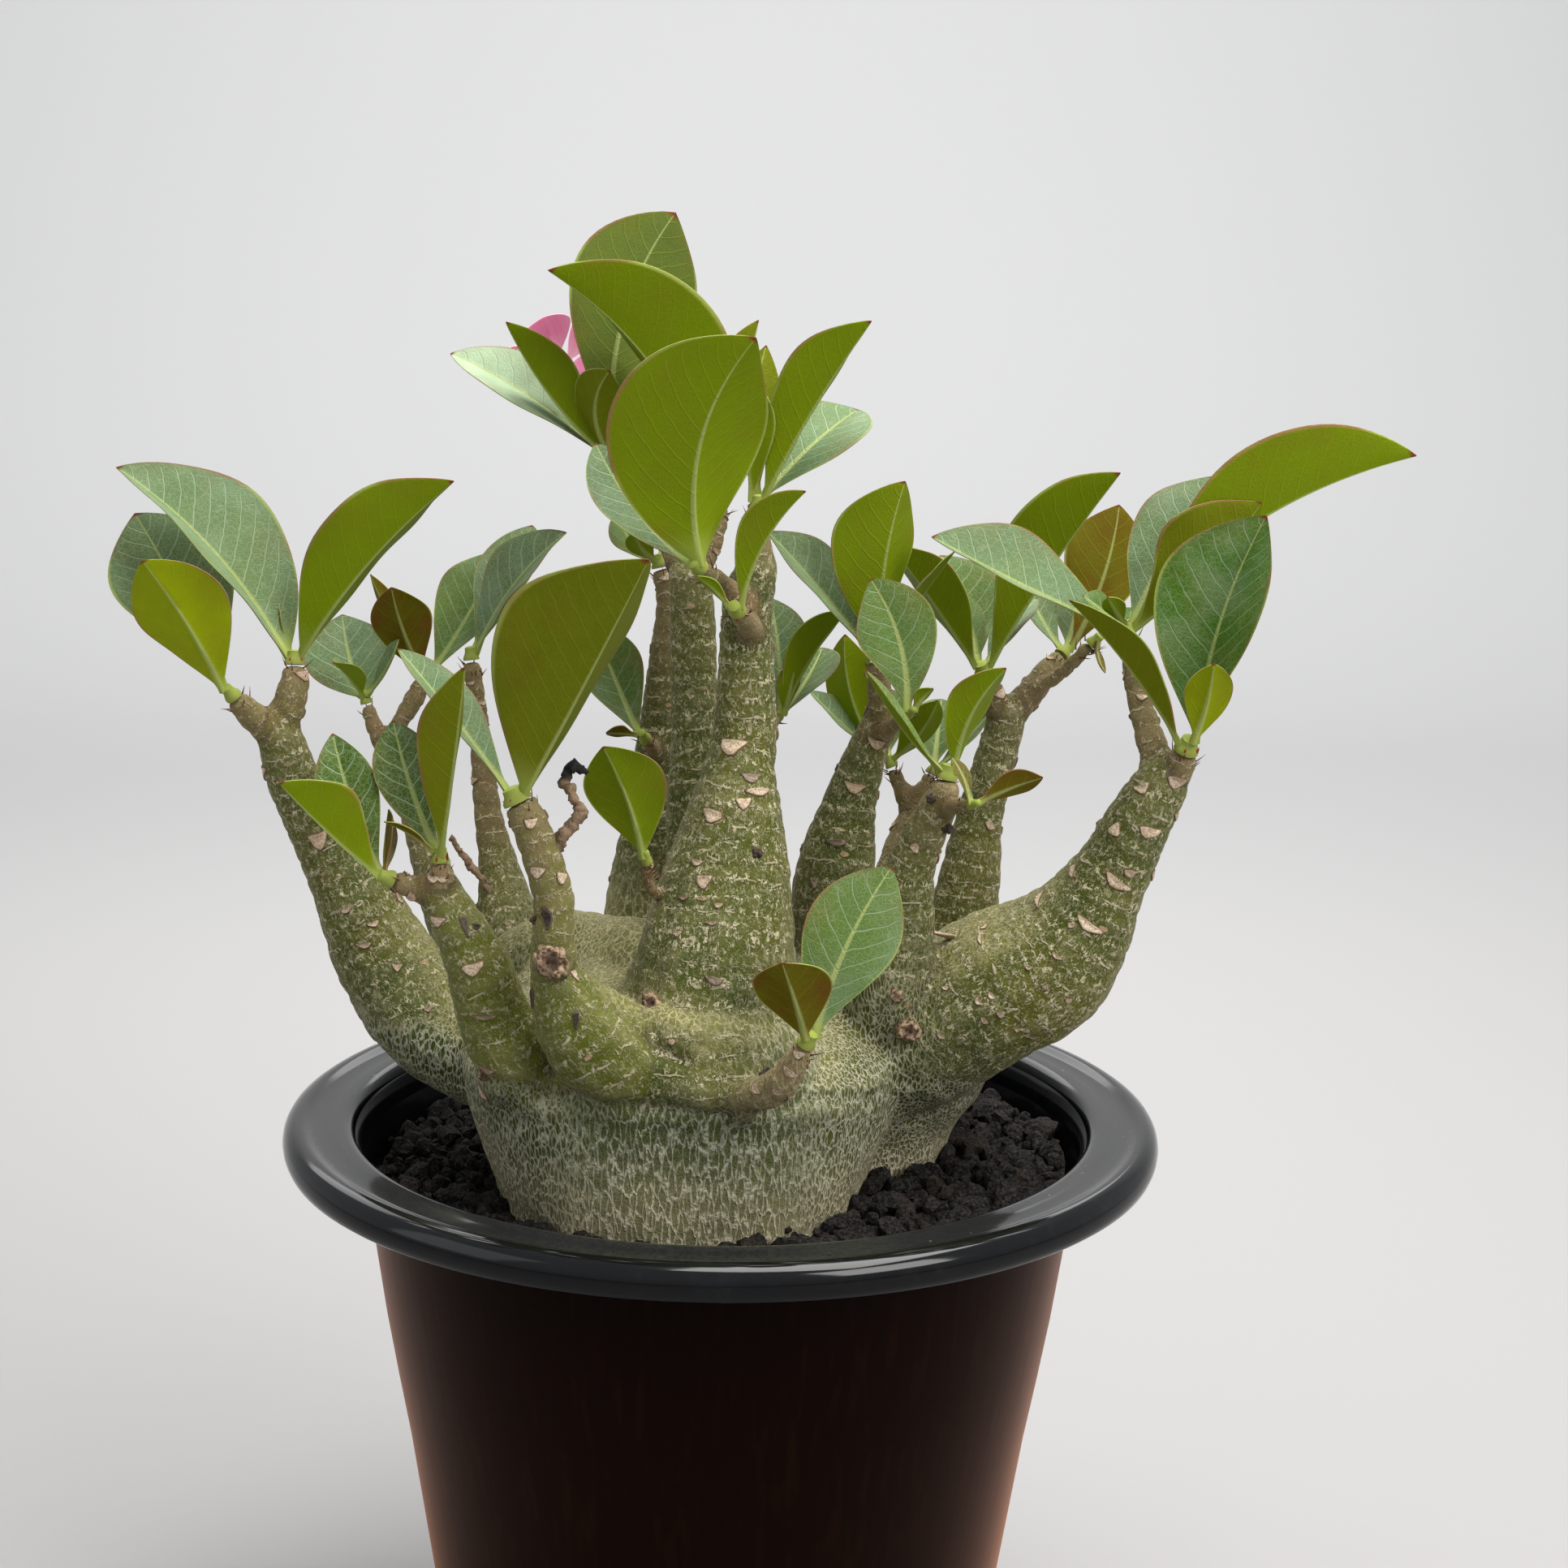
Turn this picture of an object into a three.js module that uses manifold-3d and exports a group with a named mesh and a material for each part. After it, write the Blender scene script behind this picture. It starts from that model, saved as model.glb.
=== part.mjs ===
import * as THREE from "three";
import { mergeVertices } from "three/addons/utils/BufferGeometryUtils.js";
import Module from "manifold-3d";

// A desert rose (adenium) in a wide-rimmed plastic pot, in millimetres, +Z up.
// The origin is the centre of the pot's flat underside; the plant's best side faces -Y.

// Driving dimensions.
const POT_HEIGHT = 190;
const POT_BASE_RADIUS = 70;
const POT_FLOOR = 3;
const POT_WALL = 2.5;
const POT_SIDES = 32;
const OPENING_RADIUS = 100;
const RIM_OUTER_RADIUS = 118;
const RIM_ROLL_DEPTH = 7.5;
const DRAIN_RADIUS = 5;
const DRAIN_CIRCLE_RADIUS = 44;
const DRAIN_COUNT = 6;
const DRAIN_SIDES = 8;
const SOIL_DEPTH_BELOW_RIM = 12;
const SOIL_SLOPE = 0.03;
const SOIL_GRID = 7.2;
const SOIL_EDGE_GAP = 1;
const PEBBLE_PITCH = 11;
const PEBBLE_HEIGHT = 3;
const SEAT_GAP = 0.3;
const LOBE_SIDES = 20;
const LOBE_SQUARENESS = 2.4;
const BLADE_THICKNESS = 0.9;
const BLADE_ROOT_HALF_WIDTH = 1.1;
const BLADE_TIP_HALF_WIDTH = 0.5;
const USUAL_BELLY = 61;
const SHOOT_LENGTH = 4.5;
const SHOOT_SIDES = 5;
const FIRST_LEAF_HEIGHT = 1.8;
const LEAF_SPACING = 0.45;
const LEAF_ROOT_OFFSET = 0.65;
const PETAL_COUNT = 5;
const PETAL_LENGTH = 16.5;
const PETAL_WIDTH = 15;
const PETAL_LIFT = 0.36;
const PETAL_ROOT_RADIUS = 2.2;
const FIRST_PETAL_TURN = 54;
const FLOWER_TUBE_LENGTH = 28;
const FLOWER_AZIMUTH = 135;
const FLOWER_RISE = 45;

const wasm = await Module();
wasm.setup();

// ---------------------------------------------------------------- solids from vertices and faces

function solidFromIndexed(positions, triangles) {
  const mesh = new wasm.Mesh({
    numProp: 3,
    vertProperties: new Float32Array(positions),
    triVerts: new Uint32Array(triangles),
  });
  return new wasm.Manifold(mesh);
}

function solidFromGeometry(geometry) {
  geometry.deleteAttribute("normal");
  geometry.deleteAttribute("uv");
  const merged = mergeVertices(geometry, 1e-4);
  const index = merged.index.array;
  const triangles = [];
  for (let i = 0; i < index.length; i += 3) {
    const [a, b, c] = [index[i], index[i + 1], index[i + 2]];
    if (a !== b && b !== c && c !== a) triangles.push(a, b, c);
  }
  return solidFromIndexed(merged.attributes.position.array, triangles);
}

function geometryFromSolid(solid) {
  const mesh = solid.getMesh();
  const geometry = new THREE.BufferGeometry();
  geometry.setAttribute("position", new THREE.BufferAttribute(new Float32Array(mesh.vertProperties), 3));
  geometry.setIndex(new THREE.BufferAttribute(new Uint32Array(mesh.triVerts), 1));
  geometry.computeVertexNormals();
  return geometry;
}

function joinAll(solids) {
  return solids.reduce((sum, solid) => sum.add(solid));
}

// A closed skin through rings of equal count, each ring turning counter-clockwise about the way ahead.
function solidFromRings(rings) {
  const count = rings[0].length;
  const positions = rings.flat().flatMap((p) => [p.x, p.y, p.z]);
  const triangles = [];
  const last = (rings.length - 1) * count;
  for (let i = 0; i < rings.length - 1; i += 1) {
    for (let j = 0; j < count; j += 1) {
      const next = (j + 1) % count;
      const [a, b] = [i * count + j, i * count + next];
      const [c, d] = [b + count, a + count];
      triangles.push(a, b, c, a, c, d);
    }
  }
  for (let j = 1; j < count - 1; j += 1) {
    triangles.push(0, j + 1, j, last, last + j, last + j + 1);
  }
  return solidFromIndexed(positions, triangles);
}

// The unit vector at an azimuth from +X towards +Y and a rise from the level, in degrees.
function direction(azimuth, rise) {
  const [a, e] = [azimuth, rise].map(THREE.MathUtils.degToRad);
  return new THREE.Vector3(Math.cos(e) * Math.cos(a), Math.cos(e) * Math.sin(a), Math.sin(e));
}

// ---------------------------------------------------------------- pot

// Profiles are [radius, height] pairs, turned about the upright axis.
const OUTER_WALL = [[POT_BASE_RADIUS, 2], [74, 30], [85, 104], [91, 139], [96, 178]];
const INNER_WALL = [[74 - POT_WALL, 30], [85 - POT_WALL, 104], [96 - POT_WALL, 178]];
const RIM = [
  [96.5, POT_HEIGHT - 4],
  [99, POT_HEIGHT - 1.5],
  [111, POT_HEIGHT - 1.5],
  [112.5, POT_HEIGHT - RIM_ROLL_DEPTH + 1],
  [114.5, POT_HEIGHT - RIM_ROLL_DEPTH],
  [117, POT_HEIGHT - RIM_ROLL_DEPTH + 1.5],
  [RIM_OUTER_RADIUS, POT_HEIGHT - 3],
  [116, POT_HEIGHT + 1],
  [112, POT_HEIGHT + 2],
  [104, POT_HEIGHT + 1.5],
  [OPENING_RADIUS, POT_HEIGHT - 0.5],
  [98, POT_HEIGHT - 5],
];

function latheSolid(profile, segments) {
  const points = profile.map(([radius, z]) => new THREE.Vector2(radius, z));
  const geometry = new THREE.LatheGeometry(points, segments);
  geometry.rotateX(Math.PI / 2);
  geometry.rotateZ(Math.PI / segments);
  return solidFromGeometry(geometry);
}

function potSolid() {
  const profile = [
    [0, 0],
    [POT_BASE_RADIUS - 2, 0],
    ...OUTER_WALL,
    ...RIM,
    ...INNER_WALL.slice().reverse(),
    [POT_BASE_RADIUS - POT_WALL, POT_FLOOR],
    [0, POT_FLOOR],
  ];
  let pot = latheSolid(profile, POT_SIDES);
  for (let i = 0; i < DRAIN_COUNT; i += 1) {
    const angle = (i / DRAIN_COUNT) * 2 * Math.PI;
    const drain = new THREE.CylinderGeometry(DRAIN_RADIUS, DRAIN_RADIUS, 4 * POT_FLOOR, DRAIN_SIDES);
    drain.rotateX(Math.PI / 2);
    drain.translate(DRAIN_CIRCLE_RADIUS * Math.cos(angle), DRAIN_CIRCLE_RADIUS * Math.sin(angle), 0);
    pot = pot.subtract(solidFromGeometry(drain));
  }
  return pot;
}

// ---------------------------------------------------------------- caudex, arms and twigs

// The swollen base, as two lobes: sections [z, centre x, centre y, half width x, half width y].
const MAIN_LOBE = [
  [122, -10, -14, 34, 36], [166, -10, -14, 47, 54], [178, -10, -14, 48, 56], [192, -10, -14, 53, 56],
  [206, -10, -14, 57, 56], [213, -10, -14, 58, 57], [219, -10, -13, 54, 54], [224, -10, -11, 48, 46],
  [229, -10, -9, 40, 36], [233, -10, -7, 29, 25], [236, -10, -5, 14, 12],
];
const RIGHT_LOBE = [
  [122, 24, 6, 24, 24], [178, 28, 9, 33, 33], [189, 28, 9, 37, 35], [199, 29, 8, 42, 38],
  [212, 29, 7, 45, 40], [224, 29, 5, 41, 36], [232, 31, 3, 31, 27], [236, 32, 2, 19, 16],
  [238, 33, 1, 8, 7],
];

// Arms and twigs: path points [x, y, z, radius], from inside the body that carries them to the tip.
const LIMBS = {
  left_arm: { sides: 10, path: [
    [-54, -14, 203, 13], [-65, -12, 208, 13], [-76, -9, 212, 13], [-83, -6, 219, 13.5], [-89, -3, 228, 13.5],
    [-95, -1, 238, 12], [-100, 0, 249, 10.5], [-106, 0, 260, 8.5], [-111, -2, 271, 7.5], [-115, -4, 281, 7],
    [-117, -6, 290, 6], [-119, -7, 295, 5],
  ] },
  left_arm_twig_left: { sides: 6, path: [
    [-118, -7, 292, 4], [-122, -9, 296, 4], [-125, -12, 300, 3.5], [-127, -14, 303, 2.5],
  ] },
  left_arm_twig_right: { sides: 6, path: [
    [-119, -6, 292, 4.5], [-116, -4, 298, 4.5], [-114, -3, 305, 4], [-114, -2, 310, 3],
  ] },
  front_left: { sides: 9, path: [
    [-42, -38, 208, 12], [-49, -52, 219, 11.5], [-55, -55, 231, 9.5], [-58, -58, 243, 8.5],
    [-62, -60, 253, 7], [-66, -60, 261, 5.5], [-69, -60, 266, 4.5],
  ] },
  front_left_twig_left: { sides: 6, path: [[-69, -60, 263, 3.5], [-74, -62, 265, 3], [-78, -64, 267, 2.5]] },
  front_left_twig_right: { sides: 6, path: [
    [-69, -60, 263, 4], [-67, -62, 268, 3.5], [-67, -62, 271, 2.5],
  ] },
  front_mid: { sides: 9, path: [
    [-16, -52, 211, 10], [-21, -58, 218, 12.5], [-27, -63, 226, 13.5], [-34, -67, 236, 11],
    [-38, -70, 246, 7], [-39, -72, 255, 5.3], [-39, -72, 266, 5], [-44, -72, 282, 4.5], [-47, -72, 288, 4],
  ] },
  dead_stub: { sides: 4, path: [
    [-41, -71, 275, 2.2], [-33, -70, 285, 1.7], [-36, -69, 292, 1.3], [-34, -69, 297, 1],
  ] },
  dead_twig_rear: { sides: 4, path: [[-62, 32, 234, 1.5], [-68, 30, 244, 1], [-78, 27, 259, 0.7]] },
  centre: { sides: 12, path: [
    [-3, -42, 206, 24], [-3, -42, 212, 30], [-3, -42, 218, 32], [-3, -42, 225, 29.5], [-2, -41, 233, 24.5],
    [-1, -41, 243, 20.5], [0, -38, 253, 18.5], [3, -32, 279, 12.5], [4, -29, 290, 9.5], [5, -27, 299, 8],
    [5, -25, 330, 6.5], [7, -25, 339, 5.5], [7, -25, 347, 3.5], [7, -25, 354, 2.5],
  ] },
  centre_twig: { sides: 6, path: [[7, -27, 330, 3], [2, -34, 334, 3], [-6, -44, 341, 2.5]] },
  centre_bud: { sides: 5, path: [[6, -27, 324, 3], [6, -34, 326, 3], [3, -44, 331, 2.5]] },
  centre_rear_bud: { sides: 5, path: [
    [7, -24, 291, 3], [7, -14, 294, 2.5], [11, -4, 297, 2], [13, 2, 298, 1.5],
  ] },
  centre_side_bud: { sides: 5, path: [[-10, -38, 256, 2], [-17, -47, 262, 1.5], [-18, -50, 269, 1.5]] },
  mid_left: { sides: 8, path: [
    [-2, -2, 228, 13], [-3, 0, 239, 11.5], [-6, 2, 261, 10], [-8, 4, 276, 8.5], [-9, 5, 294, 6.5],
    [-10, 6, 324, 6], [-11, 6, 337, 5.5],
  ] },
  mid_left_twig_up: { sides: 5, path: [
    [-11, 6, 332, 4], [-7, 8, 339, 3], [-4, 10, 346, 2.5], [-3, 12, 353, 2],
  ] },
  mid_left_twig_left: { sides: 6, path: [
    [-11, 6, 332, 4], [-16, 10, 341, 3], [-22, 16, 351, 3], [-29, 20, 359, 2.5], [-32, 22, 363, 2],
  ] },
  flower_stalk: { sides: 4, path: [[-29, 20, 359, 1.5], [-33, 30, 364, 1.5], [-36, 36, 368, 1.5]] },
  left_saddle: { sides: 8, path: [
    [-6, -18, 224, 18], [-20, -8, 230, 14.5], [-33, 2, 231, 12.5], [-46, 12, 229, 12], [-58, 20, 222, 11],
  ] },
  rear_left_tall: { sides: 6, path: [
    [-24, 22, 220, 12], [-24, 25, 229, 11], [-25, 28, 244, 9], [-23, 30, 262, 7.5], [-21, 32, 280, 6.5],
    [-18, 34, 314, 4.5], [-18, 35, 326, 3.5], [-20, 36, 334, 3],
  ] },
  rear_left_bud: { sides: 5, path: [[-21, 31, 281, 3], [-21, 26, 284, 2.5], [-23, 22, 288, 2]] },
  rear_left_thin: { sides: 6, path: [
    [-52, 20, 212, 12], [-59, 28, 222, 10], [-63, 34, 237, 8], [-66, 38, 250, 5.5], [-69, 40, 264, 4],
    [-72, 44, 289, 3], [-74, 45, 306, 2.5],
  ] },
  rear_far_left: { sides: 6, path: [
    [-58, 16, 210, 11], [-68, 28, 219, 10], [-77, 36, 229, 8], [-84, 42, 242, 6], [-89, 46, 255, 4.5],
    [-94, 48, 268, 3.5], [-100, 50, 281, 3],
  ] },
  rear_far_left_twig_left: { sides: 5, path: [[-99, 50, 278, 3], [-103, 51, 286, 2.5], [-105, 52, 292, 2]] },
  rear_far_left_twig_right: { sides: 5, path: [
    [-99, 50, 278, 3], [-96, 51, 286, 2.5], [-92, 53, 293, 3], [-89, 55, 299, 2.5],
  ] },
  right_centre: { sides: 8, path: [
    [30, -6, 224, 14], [30, -4, 235, 13], [29, -4, 250, 11.5], [30, -5, 263, 10], [32, -6, 275, 7.5],
    [35, -7, 286, 6], [38, -8, 295, 5], [40, -8, 302, 4], [38, -8, 315, 2.5],
  ] },
  right_centre_bud: { sides: 5, path: [[38, -8, 295, 3], [41, -13, 297, 2.5], [46, -22, 303, 1.5]] },
  front_right: { sides: 8, path: [
    [40, -24, 224, 12], [42, -30, 235, 11], [45, -34, 249, 9], [46, -36, 260, 7.5], [48, -38, 270, 6],
    [54, -42, 285, 4.5], [55, -42, 290, 3],
  ] },
  front_right_bud: { sides: 5, path: [[54, -42, 283, 2.5], [58, -50, 285, 2], [60, -53, 286, 1.5]] },
  rear_right: { sides: 8, path: [
    [50, 11, 212, 13], [57, 15, 223, 12], [64, 18, 238, 10.5], [67, 20, 253, 8.5], [69, 22, 268, 6.5],
    [75, 24, 292, 5.5], [76, 24, 299, 5],
  ] },
  rear_right_twig_left: { sides: 6, path: [[75, 24, 295, 4], [71, 22, 303, 3.5], [69, 20, 308, 3]] },
  rear_right_twig_right: { sides: 6, path: [
    [75, 24, 295, 4.5], [82, 27, 302, 4], [87, 30, 308, 3.5], [91, 33, 312, 2.5],
  ] },
  rear_right_twig_far: { sides: 5, path: [[80, 25, 301, 2.5], [90, 21, 309, 2], [97, 18, 317, 2]] },
  rear_centre_right: { sides: 6, path: [
    [36, 26, 216, 11], [42, 36, 231, 8], [46, 40, 247, 5], [49, 44, 258, 4], [52, 46, 264, 3.5],
  ] },
  rear_centre_right_twig_left: { sides: 5, path: [[52, 46, 262, 3], [49, 47, 270, 2.5], [46, 48, 277, 2]] },
  rear_centre_right_twig_right: { sides: 5, path: [[52, 46, 262, 3], [54, 48, 269, 2.5], [57, 50, 275, 2]] },
  right_arm: { sides: 12, path: [
    [30, -16, 208, 18], [42, -18, 214, 19], [55, -21, 221, 19.5], [68, -24, 231, 20], [82, -26, 240, 18.5],
    [92, -29, 252, 14], [99, -32, 266, 10], [104, -34, 278, 8.5], [109, -35, 288, 7], [111, -35, 293, 5.5],
  ] },
  right_arm_twig_left: { sides: 6, path: [
    [111, -35, 288, 5], [108, -30, 296, 4], [106, -26, 303, 3.5], [104, -22, 311, 3], [102, -18, 323, 2.5],
  ] },
  right_arm_twig_right: { sides: 6, path: [[110, -35, 287, 5], [113, -38, 294, 4], [114, -40, 298, 3.5]] },
  front_twig: { sides: 7, path: [
    [0, -60, 213, 6], [5, -67, 214, 5.5], [10, -74, 218, 4.5], [16, -80, 224, 4], [21, -84, 234, 2.5],
  ] },
};

// Healed scars that stand out as knots: [x, y, z, radius].
const KNOTS = [[-38.5, -77, 251, 4.4], [-15, -59, 235, 2.7], [47, -40.5, 225, 3.2]];

function lobeRing([z, centreX, centreY, halfX, halfY], clearance) {
  const bend = (value) => Math.sign(value) * Math.abs(value) ** (2 / LOBE_SQUARENESS);
  return Array.from({ length: LOBE_SIDES }, (_, j) => {
    const angle = (j / LOBE_SIDES) * 2 * Math.PI;
    const x = centreX + (halfX + clearance) * bend(Math.cos(angle));
    const y = centreY + (halfY + clearance) * bend(Math.sin(angle));
    return new THREE.Vector3(x, y, z);
  });
}

function lobeSolid(sections, clearance) {
  const rings = sections.map((section) => lobeRing(section, clearance));
  rings[0].forEach((point) => point.setZ(point.z - clearance));
  return solidFromRings(rings);
}

// Each ring is a polygon with the area of the round section it stands for.
function limbSolid({ sides, path }) {
  const centres = path.map(([x, y, z]) => new THREE.Vector3(x, y, z));
  const across = new THREE.Vector3(0, -1, 0);
  const rings = centres.map((centre, i) => {
    const before = centres[Math.max(i - 1, 0)];
    const after = centres[Math.min(i + 1, centres.length - 1)];
    const ahead = after.clone().sub(before).normalize();
    across.addScaledVector(ahead, -across.dot(ahead)).normalize();
    const other = ahead.clone().cross(across);
    const reach = path[i][3] * Math.sqrt((2 * Math.PI) / (sides * Math.sin((2 * Math.PI) / sides)));
    return Array.from({ length: sides }, (_, j) => {
      const angle = (j / sides) * 2 * Math.PI;
      const point = centre.clone().addScaledVector(across, reach * Math.cos(angle));
      return point.addScaledVector(other, reach * Math.sin(angle));
    });
  });
  return solidFromRings(rings);
}

function knotSolid([x, y, z, radius]) {
  const geometry = new THREE.SphereGeometry(radius, 6, 4);
  geometry.translate(x, y, z);
  return solidFromGeometry(geometry);
}

function caudexSolid() {
  return joinAll([
    lobeSolid(MAIN_LOBE, 0),
    lobeSolid(RIGHT_LOBE, 0),
    ...Object.values(LIMBS).map(limbSolid),
    ...KNOTS.map(knotSolid),
  ]);
}

// ---------------------------------------------------------------- soil

// A repeatable spread of values from 0 to 1 for the cell (i, j), by the usual sine hash.
function spread(i, j, salt) {
  const wave = Math.sin(i * 127.1 + j * 311.7 + salt * 74.7) * 43758.5453;
  return wave - Math.floor(wave);
}

// Height of the lumps of grit over the level bed, as overlapping domes on a jittered grid.
function gritHeight(x, y) {
  const row = Math.round(y / PEBBLE_PITCH);
  const column = Math.round(x / PEBBLE_PITCH);
  let height = 0;
  for (let i = row - 2; i <= row + 2; i += 1) {
    for (let j = column - 2; j <= column + 2; j += 1) {
      const centreX = (j + 0.8 * (spread(i, j, 1) - 0.5)) * PEBBLE_PITCH;
      const centreY = (i + 0.8 * (spread(i, j, 2) - 0.5)) * PEBBLE_PITCH;
      const radius = PEBBLE_PITCH * (0.5 + 0.35 * spread(i, j, 3));
      const near = 1 - ((x - centreX) ** 2 + (y - centreY) ** 2) / radius ** 2;
      if (near > 0) height = Math.max(height, PEBBLE_HEIGHT * Math.sqrt(near));
    }
  }
  return height;
}

function gritBlock() {
  const half = Math.ceil(OPENING_RADIUS / SOIL_GRID) + 1;
  const count = 2 * half + 1;
  const bed = POT_HEIGHT - SOIL_DEPTH_BELOW_RIM - PEBBLE_HEIGHT / 2;
  const top = [];
  const bottom = [];
  for (let i = 0; i < count; i += 1) {
    for (let j = 0; j < count; j += 1) {
      const x = (j - half + (i % 2 === 0 ? 0 : 0.5)) * SOIL_GRID;
      const y = (i - half) * SOIL_GRID;
      top.push(x, y, bed + SOIL_SLOPE * x + gritHeight(x, y));
      bottom.push(x, y, -POT_FLOOR);
    }
  }
  const under = count * count;
  const triangles = [];
  const quad = (a, b, c, d) => triangles.push(a, b, c, a, c, d);
  for (let i = 0; i < count - 1; i += 1) {
    for (let j = 0; j < count - 1; j += 1) {
      const a = i * count + j;
      quad(a, a + 1, a + count + 1, a + count);
      quad(under + a, under + a + count, under + a + count + 1, under + a + 1);
    }
    const [left, right] = [i * count, i * count + count - 1];
    quad(left, left + count, under + left + count, under + left);
    quad(right, under + right, under + right + count, right + count);
    const [front, back] = [i, under - count + i];
    quad(front, under + front, under + front + 1, front + 1);
    quad(back, back + 1, under + back + 1, under + back);
  }
  return solidFromIndexed([...top, ...bottom], triangles);
}

function soilSolid() {
  const floorZ = POT_FLOOR + SEAT_GAP;
  const floorRadius = POT_BASE_RADIUS - POT_WALL - SEAT_GAP;
  const mouthRadius = OPENING_RADIUS - 2 - SOIL_EDGE_GAP;
  const profile = [
    [0, floorZ],
    [floorRadius, floorZ],
    ...INNER_WALL.map(([radius, z]) => [radius - SEAT_GAP, z]),
    [mouthRadius, POT_HEIGHT - 6],
    [mouthRadius, POT_HEIGHT],
    [0, POT_HEIGHT],
  ];
  const bed = latheSolid(profile, POT_SIDES).intersect(gritBlock());
  return bed.subtract(lobeSolid(MAIN_LOBE, SEAT_GAP)).subtract(lobeSolid(RIGHT_LOBE, SEAT_GAP));
}

// ---------------------------------------------------------------- leaves

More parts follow.
